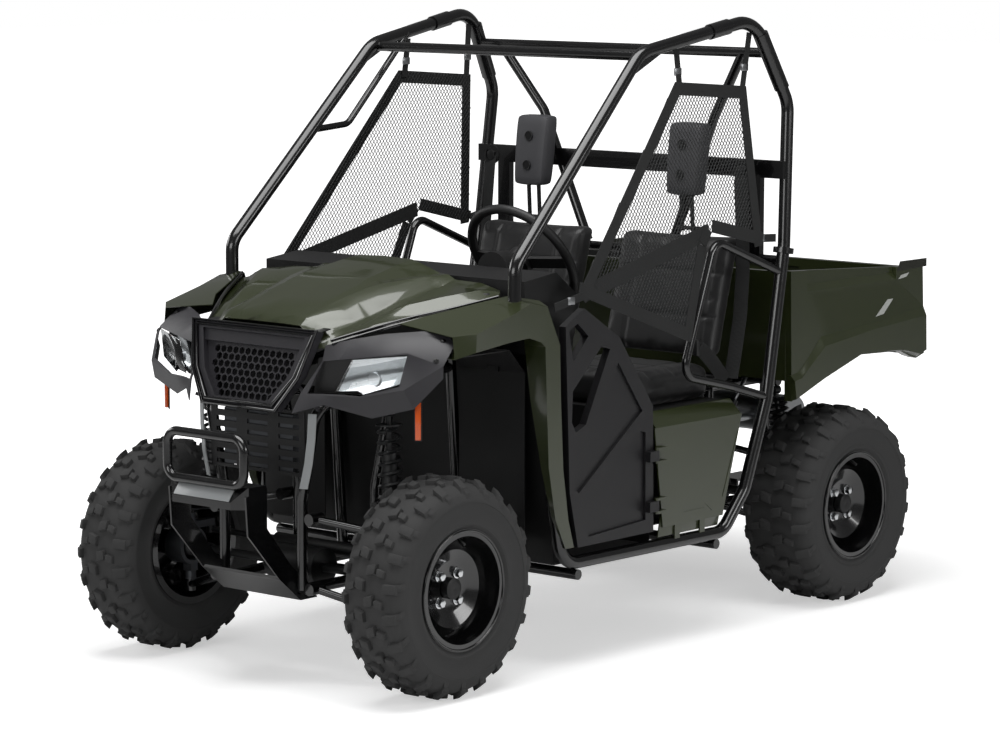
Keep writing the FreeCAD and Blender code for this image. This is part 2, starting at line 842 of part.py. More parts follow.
def knuckle():
    mouth_x = kingpin_x - cup_mouth_inset
    pieces = [spindle_cup(mouth_x, front_axle_y)]
    for way in (1, -1):
        eye_z = axle_z + way * ball_offset
        low, high = sorted((eye_z - way * eye_height / 2, axle_z + way * (cup_radius + cup_bore_radius) / 2))
        depth = (mouth_x, kingpin_x + eye_radius)
        half = ear_width / 2
        pieces.append(block(depth, (front_axle_y - half, front_axle_y + half), (low, high)))
        pieces.append(rod(
            (kingpin_x, front_axle_y, eye_z - eye_height / 2),
            (kingpin_x, front_axle_y, eye_z + eye_height / 2), eye_radius))
    arm_z = axle_z + steering_arm_rise
    arm_end_y = front_axle_y + steering_arm_length
    low, high = arm_z - steering_arm_thickness / 2, arm_z + steering_arm_thickness / 2
    arm_x = (kingpin_x - steering_arm_width / 2, kingpin_x + steering_arm_width / 2)
    pieces.append(block(arm_x, (front_axle_y, arm_end_y), (low, high)))
    pieces.append(rod((kingpin_x, arm_end_y, low), (kingpin_x, arm_end_y, high), steering_eye_radius))
    return fused(pieces)


def rear_carrier():
    mouth_x = carrier_x
    pieces = [spindle_cup(mouth_x, rear_axle_y)]
    half = ear_width / 2
    for way in (1, -1):
        cup_z = axle_z + way * (cup_radius + cup_bore_radius) / 2
        low, high = sorted((axle_z + way * carrier_ear_reach, cup_z))
        depth = (mouth_x, mouth_x + ear_width)
        pieces.append(block(depth, (rear_axle_y - half, rear_axle_y + half), (low, high)))
    return fused(pieces)


# Steering gear

tie_rod_z = axle_z + steering_arm_rise - steering_arm_thickness - tie_rod_gap
rack_y = front_axle_y + steering_arm_length


def steering_rack():
    ends = []
    for side in (1, -1):
        x = side * kingpin_x
        half = steering_arm_thickness / 2
        ends.append(rod((x, rack_y, tie_rod_z - half), (x, rack_y, tie_rod_z + half), steering_eye_radius))
        ends.append(rod((x, rack_y, tie_rod_z), (side * rack_shaft_x, rack_y, tie_rod_z), tie_rod_radius))
    shaft = rod((-rack_shaft_x, rack_y, tie_rod_z), (rack_shaft_x, rack_y, tie_rod_z), rack_radius)
    return fused([shaft] + ends)


rack_shaft_x = rack_housing_half + steering_arm_length


def steering_wheel_axis():
    tilt = math.radians(steering_tilt)
    return Vector(0, math.cos(tilt), math.sin(tilt))


def steering_wheel():
    axis = steering_wheel_axis()
    centre = Vector(steering_wheel_x, steering_wheel_y, steering_wheel_z)
    up = Vector(0, -axis.z, axis.y)
    across = Vector(1, 0, 0)
    ring = Part.makeTorus(steering_wheel_radius, steering_rim_radius, centre, axis)
    hub_base = centre - axis * steering_hub_depth
    hub = Part.makeCylinder(steering_hub_radius, steering_hub_depth, hub_base, axis)
    pieces = [ring, hub]
    for degrees in spoke_angles:
        angle = math.radians(degrees)
        out = across * math.cos(angle) + up * math.sin(angle)
        side = across * -math.sin(angle) + up * math.cos(angle)
        start = hub_base + axis * spoke_thickness - side * spoke_width / 2
        end = centre + out * steering_wheel_radius - side * spoke_width / 2 - axis * spoke_thickness / 2
        corners = [start, end, end + side * spoke_width, start + side * spoke_width]
        pieces.append(Part.Face(Part.makePolygon(corners + corners[:1])).extrude(axis * spoke_thickness))
    return fused(pieces)


# Frame

def both_rods(start, end, radius):
    return [rod(start, end, radius), rod(mirrored_point(start), mirrored_point(end), radius)]


def both_tubes(points, radius, bend):
    return [tube(points, radius, bend), tube([mirrored_point(p) for p in points], radius, bend)]


def cowl_tube(radius):
    return rod((-foot_x, cowl_tube_y, cowl_tube_z), (foot_x, cowl_tube_y, cowl_tube_z), radius)


def cowl_posts(radius):
    return both_rods((cowl_post_x, cowl_tube_y, cowl_tube_z), (cowl_post_x, cowl_post_foot_y, rail_z), radius)


def head_tubes(radius):
    front_y = front_axle_y - pivot_reach
    post_share = (cowl_tube_z - head_tube_end_z) / (cowl_tube_z - rail_z)
    head_end_y = between(cowl_tube_y, cowl_post_foot_y, post_share)
    head = [
        (rail_x, front_y, rail_z), (rail_x, front_y, front_head_bend_z),
        (front_head_x, front_y, front_head_z), (cowl_post_x, head_end_y, head_tube_end_z),
    ]
    return both_tubes(head, radius, frame_bend)


def base_frame():
    """The two lower rails with their cross tubes and the hitch plate."""
    front_y = front_axle_y - pivot_reach
    back_y = front_axle_y + pivot_reach
    rear_front_y = rear_axle_y - pivot_reach
    rear_back_y = rear_axle_y + pivot_reach
    pieces = both_rods((rail_x, front_y, rail_z), (rail_x, rear_back_y, rail_z), frame_radius)
    cross_tubes = (
        (cowl_post_x, cowl_post_foot_y), (rocker_x - base_cross_inset, cross_tube_front_y),
        (rocker_x - base_cross_inset, cross_tube_rear_y),
        (rail_x, front_y), (rail_x, back_y), (rail_x, rear_rail_front_y), (rail_x, rear_front_y),
        (rail_x, rear_back_y),
    )
    for x, y in cross_tubes:
        pieces.append(rod((-x, y, rail_z), (x, y, rail_z), base_cross_radius))
    plate_z = (hitch_plate_z, hitch_plate_z + hitch_plate_thickness)
    pieces.append(block((-hitch_plate_half, hitch_plate_half), (rear_back_y, hitch_plate_end_y), plate_z))
    rise_y = (rear_back_y, rear_back_y + hitch_plate_thickness)
    pieces.append(block((-hitch_plate_half, hitch_plate_half), rise_y, (rail_z, plate_z[1])))
    hole_y = hitch_plate_end_y - hitch_plate_half
    hole = rod((0, hole_y, plate_z[0] - overrun), (0, hole_y, plate_z[1] + overrun), hitch_hole_radius)
    return clear_of(fused(pieces).cut(hole), cage_cutter())


def base_cutter():
    """The lower rails and cross tubes with a small gap round them, to trim what stands on them."""
    radius = frame_radius + seat_gap
    cross_radius = base_cross_radius + seat_gap
    front_y = front_axle_y - pivot_reach
    rear_back_y = rear_axle_y + pivot_reach
    cutters = both_rods((rail_x, front_y, rail_z), (rail_x, rear_back_y, rail_z), radius)
    for x, y in (
        (cowl_post_x, cowl_post_foot_y), (rail_x, front_y), (rail_x, front_axle_y + pivot_reach),
        (rail_x, rear_rail_front_y), (rail_x, rear_axle_y - pivot_reach), (rail_x, rear_back_y),
    ):
        cutters.append(rod((-x, y, rail_z), (x, y, rail_z), cross_radius))
    return cutters


def front_frame():
    """The tubes that carry the front shocks, the bonnet and the cowl."""
    front_y = front_axle_y - pivot_reach
    back_y = front_axle_y + pivot_reach
    post_share = (cowl_tube_z - head_tube_end_z) / (cowl_tube_z - rail_z)
    head_end_y = between(cowl_tube_y, cowl_post_foot_y, post_share)
    share = (back_y - front_y) / (head_end_y - front_y)
    upper_x = between(front_head_x, cowl_post_x, share)
    upper_z = between(front_head_z, head_tube_end_z, share)
    upright = [(rail_x, back_y, rail_z), (rail_x, back_y, front_head_bend_z), (upper_x, back_y, upper_z)]
    pieces = head_tubes(frame_radius) + both_tubes(upright, brace_radius, frame_bend)
    pieces += cowl_posts(frame_radius)
    pieces.append(cowl_tube(frame_radius))
    shock_z = front_shock_top_z + shock_eye_radius + seat_gap + frame_radius
    shock_end = front_shock_top_x + shock_eye_radius
    pieces.append(rod((-shock_end, front_axle_y, shock_z), (shock_end, front_axle_y, shock_z), frame_radius))
    return clear_of(fused(pieces), base_cutter() + cage_cutter())


def rear_frame():
    """The tubes that carry the rear shocks, the bed's pivots and the foot of its strut."""
    front_y = rear_axle_y - pivot_reach
    back_y = rear_axle_y + pivot_reach
    pieces = []
    for y in (front_y, back_y, rear_rail_front_y):
        pieces += both_rods((rail_x, y, rail_z), (rail_x, y, rear_rail_z), frame_radius)
    rail_end = (rail_x, rear_rail_end_y, rear_rail_z)
    pieces += both_rods((rail_x, rear_rail_front_y, rear_rail_z), rail_end, frame_radius)
    for y in (rear_rail_front_y, rear_rail_end_y):
        pieces.append(rod((-rail_x, y, rear_rail_z), (rail_x, y, rear_rail_z), frame_radius))
    shock_z = rear_shock_top_z + shock_eye_radius + seat_gap + frame_radius
    shock_end = rear_shock_top_x + shock_eye_radius
    pieces.append(rod((-shock_end, rear_axle_y, shock_z), (shock_end, rear_axle_y, shock_z), frame_radius))
    for side in (1, -1):
        lug_x = sorted((side * (rail_x - lug_plate_thickness / 2), side * (rail_x + lug_plate_thickness / 2)))
        lug_y = (bed_pivot_y - bed_ear_half, bed_pivot_y + bed_ear_half)
        pieces.append(block(lug_x, lug_y, (rear_rail_z, bed_pivot_z + bed_ear_half)))
        pin_end = bed_rail_inner_x + bed_ear_thickness + lug_plate_thickness / 2
        start = (side * rail_x, bed_pivot_y, bed_pivot_z)
        pieces.append(rod(start, (side * pin_end, bed_pivot_y, bed_pivot_z), bed_pin_radius))
    foot = (rail_x, strut_foot_y, strut_foot_z)
    boss_x = strut_x - strut_eye_width / 2 - strut_pin_gap
    pieces.append(rod((rail_x, strut_foot_y, rail_z), (rail_x, strut_foot_y, rear_rail_z), strut_post_radius))
    pieces.append(rod(foot, (boss_x, strut_foot_y, strut_foot_z), strut_eye_radius))
    pieces.append(rod(foot, (strut_x + strut_eye_width / 2, strut_foot_y, strut_foot_z), strut_pin_radius))
    return clear_of(fused(pieces), base_cutter() + cage_cutter())


# Roll cage

def cage_tubes(radius):
    points = [
        (foot_x, foot_y, foot_z), (foot_x, foot_y, low_bend_z), (top_bend_x, top_bend_y, top_bend_z),
        (hoop_x, hoop_y, hoop_top_z), (hoop_shoulder_x, hoop_shoulder_y, hoop_shoulder_z),
        (pillar_x, pillar_y, pillar_z), (pillar_x, pillar_waist_y, pillar_waist_z),
        (pillar_x, pillar_low_y, pillar_low_z), (rocker_x, heel_y, rocker_z),
        (loop_corner_x, loop_corner_y, rocker_z), (loop_rise_x, loop_rise_y, loop_rise_z),
        (foot_x, loop_top_y, loop_top_z), (foot_x, cowl_tube_y, cowl_tube_z), (foot_x, foot_y, foot_z),
    ]
    waist = 6
    upper = tube(points[:waist + 1], radius, rops_upper_bends)
    lower = tube(points[waist:], radius, rops_bend)
    return [upper, lower, Part.makeSphere(radius, Vector(*points[waist]))]


def cage_side():
    """One side of the cage with its foot plate, sleeves, bolted collar and gusset."""
    half = foot_plate / 2
    plate_z = (foot_z, foot_z + foot_plate_thickness)
    pieces = cage_tubes(rops_radius) + cage_sleeves(sleeve_radius)
    pieces.append(block((foot_x - half, foot_x + half), (foot_y - half, foot_y + half), plate_z))
    bend = Vector(top_bend_x, top_bend_y, top_bend_z)
    hoop = Vector(hoop_x, hoop_y, hoop_top_z)
    low, high = collar_z - collar_half, collar_z + collar_half
    pieces.append(rod((pillar_x, pillar_y_at(low), low), (pillar_x, pillar_y_at(high), high), collar_radius))
    low_bend = Vector(foot_x, foot_y, low_bend_z)
    corners = [low_bend + (bend - low_bend) * gusset_shares[0], bend, bend + (hoop - bend) * gusset_shares[1]]
    side = (corners[1] - corners[0]).cross(corners[2] - corners[1]).normalize() * (gusset_thickness / 2)
    face = Part.Face(Part.makePolygon([corner - side for corner in corners + corners[:1]]))
    pieces.append(face.extrude(side * 2))
    return fused(pieces)


def grab_bar():
    """The passenger's bar, which follows the front pillar of the right side."""
    share = (grab_points[0][1] - low_bend_z) / (top_bend_z - low_bend_z)
    start_x = between(foot_x, top_bend_x, share)
    points = [(-start_x, *grab_points[0]), (-start_x, *grab_points[1]), (-top_bend_x, *grab_points[2])]
    return tube(points, grab_radius, grab_bend)


def clear_of(shape, blockers):
    for blocker in blockers:
        shape = shape.cut(blocker)
    return shape


def cage_sleeves(radius):
    """The sleeves over the joints of the roof rail and the hoop."""
    bend = Vector(top_bend_x, top_bend_y, top_bend_z)
    hoop = Vector(hoop_x, hoop_y, hoop_top_z)
    shoulder = Vector(hoop_shoulder_x, hoop_shoulder_y, hoop_shoulder_z)
    pieces = []
    for (start, end), shares in zip(((bend, hoop), (hoop, shoulder)), sleeve_shares):
        pieces.append(rod(start + (end - start) * shares[0], start + (end - start) * shares[1], radius))
    return pieces


def left_cage_cutter(gap=seat_gap):
    """The left side tubes with a small gap round them, to trim what ends on them."""
    return cage_tubes(rops_radius + gap) + cage_sleeves(sleeve_radius + gap)


def cage_cutter(gap=seat_gap):
    left = left_cage_cutter(gap)
    return left + [mirrored(piece) for piece in left]


def cage_cross():
    left, right = (top_bend_x, front_cross_y, front_cross_z), (-top_bend_x, front_cross_y, front_cross_z)
    front = rod(right, left, brace_radius)
    frame = [rod((-hoop_x, rear_cross_y, rear_cross_z), (hoop_x, rear_cross_y, rear_cross_z), brace_radius)]
    brace = [
        (brace_top_x, rear_cross_y, rear_cross_z), (brace_bend_x, brace_bend_y, brace_bend_z),
        (brace_foot_x, brace_foot_y, brace_foot_z),
    ]
    frame += both_tubes(brace, brace_radius, frame_bend)
    bar_y = (pillar_y - belt_bar_thickness / 2, pillar_y + belt_bar_thickness / 2)
    bar_z = (belt_bar_low_z, belt_bar_low_z + belt_bar_height)
    frame.append(block((-pillar_x, pillar_x), bar_y, bar_z))
    for side in (1, -1):
        xs = sorted((side * belt_post_x, side * (belt_post_x + belt_post_width)))
        frame.append(block(xs, bar_y, (belt_post_low_z, belt_bar_low_z)))
    shelf_end = (pillar_x, brace_foot_y, shelf_tube_z)
    frame.append(rod((-pillar_x, brace_foot_y, shelf_tube_z), shelf_end, brace_radius))
    return Part.makeCompound([clear_of(front, cage_cutter()), clear_of(fused(frame), cage_cutter())])


# Hip bars and side nets

def pillar_y_at(z):
    return between(pillar_waist_y, pillar_y, (z - pillar_waist_z) / (pillar_z - pillar_waist_z))


def hip_bars():
    points = [
        (pillar_x, pillar_y_at(hip_back_z), hip_back_z), (hip_x, hip_top_y, hip_top_z),
        (hip_x, hip_front_y, hip_front_z), (hip_x, hip_low_y, hip_low_z),
        (pillar_x, pillar_y_at(hip_foot_z), hip_foot_z),
    ]
    return both_sides(clear_of(tube(points, hip_radius, hip_bend), cage_cutter()))


def net_holes(corners):
    """The diamond holes that fit between the net's borders and its slanting strap."""
    face = Part.Face(polygon([(0, y, z) for x, y, z in corners]))
    field = face.makeOffset2D(-(net_border + net_hole / 2), join=2)
    (ay, az), (by, bz) = [
        (between(net_front_y, net_rear_y, a), between(net_low_z, net_top_z, b))
        for a, b in (net_strap_foot_share, net_strap_head_share)
    ]
    strap_length = math.hypot(by - ay, bz - az)
    pitch = net_hole + net_strand
    half = net_hole / 2
    holes = []
    for row in range(int((net_top_z - net_low_z) / pitch * 2)):
        for column in range(int((net_rear_y - net_front_y) / pitch) + 1):
            y = net_front_y + pitch * (column + (row % 2) / 2)
            z = net_low_z + pitch * row / 2
            off_strap = abs((by - ay) * (z - az) - (bz - az) * (y - ay)) / strap_length
            if off_strap < net_strap_width / 2 + half or not field.isInside(Vector(0, y, z), seat_gap, True):
                continue
            x = between(net_low_x, net_top_x, (z - net_low_z) / (net_top_z - net_low_z))
            diamond = [(x, y - half, z), (x, y, z - half), (x, y + half, z), (x, y, z + half)]
            hole = prism(diamond, (net_border, 0, 0))
            hole.translate(Vector(-net_border / 2, 0, 0))
            holes.append(hole)
    return holes


def side_nets():
    ys = (net_front_y, net_rear_y)
    zs = (net_low_z, net_top_z)
    corners = []
    for share_y, share_z in net_outline_shares:
        corners.append((between(net_low_x, net_top_x, share_z), between(*ys, share_y), between(*zs, share_z)))
    lean = Vector(zs[1] - zs[0], 0, net_low_x - net_top_x).normalize()
    inset = net_hanger_share * (zs[1] - zs[0])
    front_rail = between(top_bend_z, hoop_top_z, (corners[1][1] - top_bend_y) / (hoop_y - top_bend_y))
    rear_rail = between(top_bend_z, hoop_top_z, (corners[2][1] - top_bend_y) / (hoop_y - top_bend_y))
    hangers = (
        (
            (corners[1][0], corners[1][1] + inset, corners[1][2] - inset),
            (hoop_x - inset, corners[1][1] + inset, front_rail),
        ),
        ((corners[2][0], corners[2][1] - inset, corners[2][2] - inset), (hoop_x, corners[2][1], rear_rail)),
        ((corners[0][0], corners[0][1] + inset, corners[0][2]), (foot_x, cowl_tube_y, cowl_tube_z)),
    )
    panel = prism(corners, lean * net_thickness).cut(Part.makeCompound(net_holes(corners)))
    pieces = [panel] + [rod(start, end, net_hanger_radius) for start, end in hangers]
    return both_sides(clear_of(fused(pieces), left_cage_cutter() + [cowl_tube(frame_radius + seat_gap)]))


# Suspension

def a_arm(eye, pivot_x, pivot_z, axle_y):
    half = arm_eye_height / 2
    pieces = [rod((eye[0], eye[1], eye[2] - half), (eye[0], eye[1], eye[2] + half), eye_radius)]
    for way in (1, -1):
        y = axle_y + way * (pivot_reach - frame_radius)
        pieces.append(rod(eye, (pivot_x, y, pivot_z), arm_radius))
        low, high = y - bush_length / 2, y + bush_length / 2
        pieces.append(rod((pivot_x, low, pivot_z), (pivot_x, high, pivot_z), bush_radius))
    return pieces


upper_pivot_z = axle_z + upper_pivot_rise
lower_pivot_z = axle_z - lower_pivot_drop
pivot_x = rail_x + frame_radius + seat_gap + bush_radius
arm_eye_offset = ball_offset + eye_height / 2 + pin_gap + arm_eye_height / 2
upper_eye_z = axle_z + arm_eye_offset
lower_eye_z = axle_z - arm_eye_offset
front_foot_share = (kingpin_x - front_shock_foot_x) / (kingpin_x - pivot_x)
front_shock_foot_z = between(upper_eye_z, upper_pivot_z, front_foot_share) + shock_foot_rise


def shock_saddle(foot_x, foot_z, axle_y):
    half = shock_eye_radius
    top_z = foot_z - shock_eye_radius - seat_gap
    spread = pivot_reach / 2
    ys = (axle_y - spread, axle_y + spread)
    return block((foot_x - half, foot_x + half), ys, (top_z - arm_radius, top_z))


def front_arms():
    upper = a_arm((kingpin_x, front_axle_y, upper_eye_z), pivot_x, upper_pivot_z, front_axle_y)
    upper.append(shock_saddle(front_shock_foot_x, front_shock_foot_z, front_axle_y))
    lower = a_arm((kingpin_x, front_axle_y, lower_eye_z), pivot_x, lower_pivot_z, front_axle_y)
    left = [fused(upper), fused(lower)]
    return Part.makeCompound(left + [mirrored(arm) for arm in left])


rear_eye_x = carrier_x + ear_width / 2
rear_eye_offset = carrier_ear_reach + seat_gap + arm_eye_height / 2
rear_foot_share = (rear_eye_x - rear_shock_foot_x) / (rear_eye_x - pivot_x)
rear_shock_foot_z = between(axle_z + rear_eye_offset, upper_pivot_z, rear_foot_share) + shock_foot_rise


def rear_arms():
    upper = a_arm((rear_eye_x, rear_axle_y, axle_z + rear_eye_offset), pivot_x, upper_pivot_z, rear_axle_y)
    upper.append(shock_saddle(rear_shock_foot_x, rear_shock_foot_z, rear_axle_y))
    lower = a_arm((rear_eye_x, rear_axle_y, axle_z - rear_eye_offset), pivot_x, lower_pivot_z, rear_axle_y)
    left = [fused(upper), fused(lower)]
    return Part.makeCompound(left + [mirrored(arm) for arm in left])


def spring(low, high, radius, wire_radius, turns):
    """A coil spring with a flat-sided wire between two points."""
    axis = high - low
    across = axis.cross(Vector(0, 1, 0)).normalize()
    other = axis.cross(across).normalize()
    travel = axis.normalize() * ((high - low).Length - 2 * wire_radius)
    steps = int(turns * spring_steps)
    rings = []
    for i in range(steps + 1):
        turn = 2 * math.pi * i / spring_steps
        out = across * math.cos(turn) + other * math.sin(turn)
        centre = low + axis.normalize() * wire_radius + travel * (i / steps) + out * radius
        ring = []
        for j in range(spring_sides):
            way = 2 * math.pi * j / spring_sides
            ring.append(centre + (out * math.cos(way) + axis.normalize() * math.sin(way)) * wire_radius)
        rings.append(ring)
    faces = [Part.Face(Part.makePolygon(ring + ring[:1])) for ring in (rings[0], rings[-1])]
    for here, there in zip(rings, rings[1:]):
        for j in range(spring_sides):
            for corners in ((here[j - 1], here[j], there[j]), (here[j - 1], there[j], there[j - 1])):
                faces.append(Part.Face(Part.makePolygon(list(corners) + [corners[0]])))
    return Part.makeSolid(Part.makeShell(faces))


def shock(foot, top):
    a, b = Vector(*foot), Vector(*top)
    way = (b - a).normalize()
    half = shock_eye_length / 2
    pieces = []
    for end in (a, b):
        pieces.append(rod((end.x, end.y - half, end.z), (end.x, end.y + half, end.z), shock_eye_radius))
    low, high = a + way * (shock_eye_radius / 2), b - way * (shock_eye_radius / 2)
    length = (b - a).Length
    coil_low, coil_high = a + way * spring_low_share * length, b - way * spring_high_share * length
    for seat in (coil_low - way * spring_seat_thickness, coil_high):
        pieces.append(rod(seat, seat + way * spring_seat_thickness, shock_spring_radius))
    body_end = a + way * shock_body_share * length
    pieces.append(rod(low, body_end, shock_body_radius))
    pieces.append(rod(body_end - way * overrun, high, shock_rod_radius))
    low, high = coil_low + way * seat_gap, coil_high - way * seat_gap
    coil = spring(low, high, spring_coil_radius, spring_wire_radius, spring_turns)
    return [fused(pieces), coil]


def shocks():
    front_foot = (front_shock_foot_x, front_axle_y, front_shock_foot_z)
    front = shock(front_foot, (front_shock_top_x, front_axle_y, front_shock_top_z))
    rear_foot = (rear_shock_foot_x, rear_axle_y, rear_shock_foot_z)
    rear = shock(rear_foot, (rear_shock_top_x, rear_axle_y, rear_shock_top_z))
    left = front + rear
    return Part.makeCompound(left + [mirrored(piece) for piece in left])


# Driveline

def driveline():
    groups = []
    for axle_y, joint_x in ((front_axle_y, kingpin_x), (rear_axle_y, carrier_x + cup_mouth_inset)):
        half = gearcase_half
        pieces = [rod((-half, axle_y, axle_z), (half, axle_y, axle_z), gearcase_radius)]
        for side in (1, -1):
            ball = (side * joint_x, axle_y, axle_z)
            neck = (side * (joint_x - boot_large_radius), axle_y, axle_z)
            boot_end = (side * (joint_x - boot_large_radius - boot_length), axle_y, axle_z)
            pieces.append(rod((side * half, axle_y, axle_z), neck, shaft_radius))
            pieces.append(Part.makeSphere(joint_ball_radius, Vector(*ball)))
            pieces.append(cone(boot_end, neck, boot_small_radius, boot_large_radius))
        groups.append(fused(pieces))
    start = (0, front_axle_y + gearcase_radius - overrun, axle_z)
    end = (0, engine_front_y - seat_gap, axle_z)
    front = fused([groups[0], rod(start, end, prop_shaft_radius)])
    rear_start = (0, engine_rear_y + seat_gap, axle_z)
    rear_end = (0, rear_axle_y - gearcase_radius + overrun, axle_z)
    rear = fused([groups[1], rod(rear_start, rear_end, prop_shaft_radius)])
    return Part.makeCompound([front, rear])


engine_low_z = rail_z + frame_radius + seat_gap


def engine():
    return block((-engine_x, engine_x), (engine_front_y, engine_rear_y), (engine_low_z, engine_top_z))


def muffler():
    body = rod((-muffler_half, muffler_y, muffler_z), (muffler_half, muffler_y, muffler_z), muffler_radius)
    upright_y = rear_axle_y + pivot_reach + frame_radius + seat_gap
    pipe_x = engine_x / 2
    pipe_start = (pipe_x, engine_rear_y + seat_gap, muffler_z)
    pieces = [body, rod(pipe_start, (pipe_x, muffler_y, muffler_z), exhaust_radius)]
    for side in (1, -1):
        xs = (side * rail_x - bracket_half, side * rail_x + bracket_half)
        pieces.append(block(xs, (upright_y, muffler_y), (muffler_z - bracket_half, muffler_z + bracket_half)))
    return fused(pieces)


# Front end

guard_y = front_axle_y - pivot_reach - frame_radius - seat_gap - guard_thickness


def radiator():
    front = guard_y + guard_thickness + seat_gap
    ys = (front, front + radiator_depth)
    return block((-radiator_half, radiator_half), ys, (radiator_low_z, radiator_top_z))


def radiator_guard():
    plate = block((-guard_x, guard_x), (guard_y, guard_y + guard_thickness), (guard_low_z, guard_top_z))
    column = 2 * guard_x / guard_columns
    row = (guard_top_z - guard_low_z) / guard_rows
    for i in range(guard_columns):
        for j in range(guard_rows):
            x = -guard_x + column * (i + 0.5)
            z = guard_low_z + row * (j + 0.5)
            slot = block(
                (x - guard_slot_width / 2, x + guard_slot_width / 2),
                (guard_y - overrun, guard_y + guard_thickness + overrun),
                (z - guard_slot_height / 2, z + guard_slot_height / 2))
            plate = plate.cut(slot)
    return plate


def front_bumper():
    loop = [
        (0, bumper_front_y, bumper_top_z), (bumper_half, bumper_front_y, bumper_top_z),
        (bumper_half, bumper_front_y, bumper_low_z), (0, bumper_front_y, bumper_low_z),
    ]
    pieces = both_tubes(loop, bumper_radius, bumper_bend)
    outline = [
        (nose_y, box_plate_low_z), (bumper_front_y + bumper_radius, box_top_z), (box_rear_y, box_top_z),
        (box_rear_y, box_low_z), (nose_y, box_low_z),
    ]
    box = side_prism(outline, -box_half, box_half)
    for side in (1, -1):
        corner = [
            (side * box_plate_half, nose_y - overrun), (side * (box_half + overrun), nose_y - overrun),
            (side * (box_half + overrun), nose_y + box_corner),
        ]
        box = box.cut(flat_prism(corner, box_low_z - overrun, box_top_z + overrun))
    pieces.append(box)
    stand = (box_top_z - overrun, bumper_low_z)
    foot_y = front_axle_y - pivot_reach - frame_radius - seat_gap
    arm = [(nose_y + y, z) for y, z in arm_front]
    arm += [(foot_y, arm_foot_z[0]), (foot_y, arm_foot_z[1])]
    arm += [(nose_y + y, z) for y, z in arm_rear]
    for side in (1, -1):
        xs = sorted((side * box_plate_half, side * (box_plate_half - bumper_radius)))
        pieces.append(block(xs, (bumper_front_y - bumper_radius / 2, bumper_front_y + bumper_radius), stand))
        xs = sorted((side * side_plate_x, side * (side_plate_x - side_plate_thickness)))
        pieces.append(side_prism(arm, *xs))
    skid = [
        (nose_y + skid_front[0], skid_front[1]), (nose_y + skid_knee, skid_low_z), (skid_rear_y, skid_low_z),
        (skid_rear_y, skid_low_z + skid_thickness), (nose_y + skid_knee, skid_low_z + skid_thickness),
        (nose_y + skid_front[0], skid_front[1] + skid_thickness * 2),
    ]
    pieces.append(side_prism(skid, -side_plate_x, side_plate_x))
    return fused(pieces)


def bonnet():
    xs = (0, bonnet_half_width)
    ys = (bonnet_rear_y, bonnet_front_y)
    zs = (bonnet_low_z, bonnet_high_z)
    rows = []
    for row in bonnet_row_shares:
        half = [in_box(shares, xs, ys, zs) for shares in row]
        rows.append([mirrored_point(p) for p in reversed(half[1:])] + half)
    rest = block(bonnet_rest_x, bonnet_rest_y, (cowl_tube_z, bonnet_high_z - overrun))
    shape = fused([sheet(rows, -panel_thickness), rest, mirrored(rest)])
    return shape.cut(cowl_tube(frame_radius + seat_gap))


def mesh_holes(height):
    """Six-sided holes in staggered rows, kept inside the surround."""
    pitch_x = mesh_hole_radius * math.sqrt(3) + mesh_strip
    pitch_z = pitch_x * math.sqrt(3) / 2
    holes = []
    foot = grille_rim * grille_foot_share
    rows = int((height * (1 - name_bar_share) - foot - mesh_hole_radius * 2) / pitch_z) + 1
    for row in range(rows):
        z = foot + mesh_hole_radius + pitch_z * row
        shoulder_share = min(z / (height * grille_shoulder_share), 1)
        reach = between(grille_low_half - grille_rim, mesh_top_half, shoulder_share) - mesh_hole_radius
        count = int(reach / pitch_x)
        shift = pitch_x / 2 * (row % 2)
        for column in range(-count, count + 1):
            x = column * pitch_x + shift
            if abs(x) > reach:
                continue
            corners = []
            for corner in range(6):
                turn = math.radians(60 * corner + 30)
                corners.append((x + mesh_hole_radius * math.cos(turn), z + mesh_hole_radius * math.sin(turn)))
            holes.append(cross_prism(corners, 0, grille_depth + overrun))
    return holes


def grille():
    height = math.hypot(grille_top_y - grille_low_y, grille_top_z - grille_low_z)
    shoulder = between(grille_low_half, grille_top_half, grille_shoulder_share) + grille_bulge

    def outline(inset):
        rise = inset * grille_foot_share
        return [
            (grille_top_half - inset, height - rise), (shoulder - inset, height * grille_shoulder_share),
            (grille_low_half - inset, rise), (inset - grille_low_half, rise),
            (inset - shoulder, height * grille_shoulder_share), (inset - grille_top_half, height - rise),
        ]

    ring = cross_prism(outline(0), 0, grille_depth)
    ring = ring.cut(cross_prism(outline(grille_rim), -overrun, grille_depth + overrun))
    groove = cross_prism(outline(grille_groove[0]), -overrun, grille_groove_depth)
    ring = ring.cut(groove.cut(cross_prism(outline(grille_groove[1]), -overrun, grille_groove_depth)))
    mesh = cross_prism(outline(grille_rim - overrun), grille_depth - mesh_depth, grille_depth)
    mesh = mesh.cut(Part.makeCompound(mesh_holes(height)))
    bar_low = height * (1 - name_bar_share)
    bar_half = grille_top_half - grille_rim
    bar_high = height - grille_rim * grille_foot_share
    bar = block((-bar_half, bar_half), (mesh_depth, grille_depth), (bar_low, bar_high))
    shape = fused([ring, mesh, bar])
    lean = math.degrees(math.atan2(grille_top_y - grille_low_y, grille_top_z - grille_low_z))
    shape.rotate(Vector(0, 0, 0), Vector(1, 0, 0), -lean)
    shape.translate(Vector(0, grille_low_y, grille_low_z))
    stays = both_rods(grille_stay_point, head_bend_point, stay_radius)
    return clear_of(fused([shape] + stays), head_tubes(frame_radius + seat_gap))


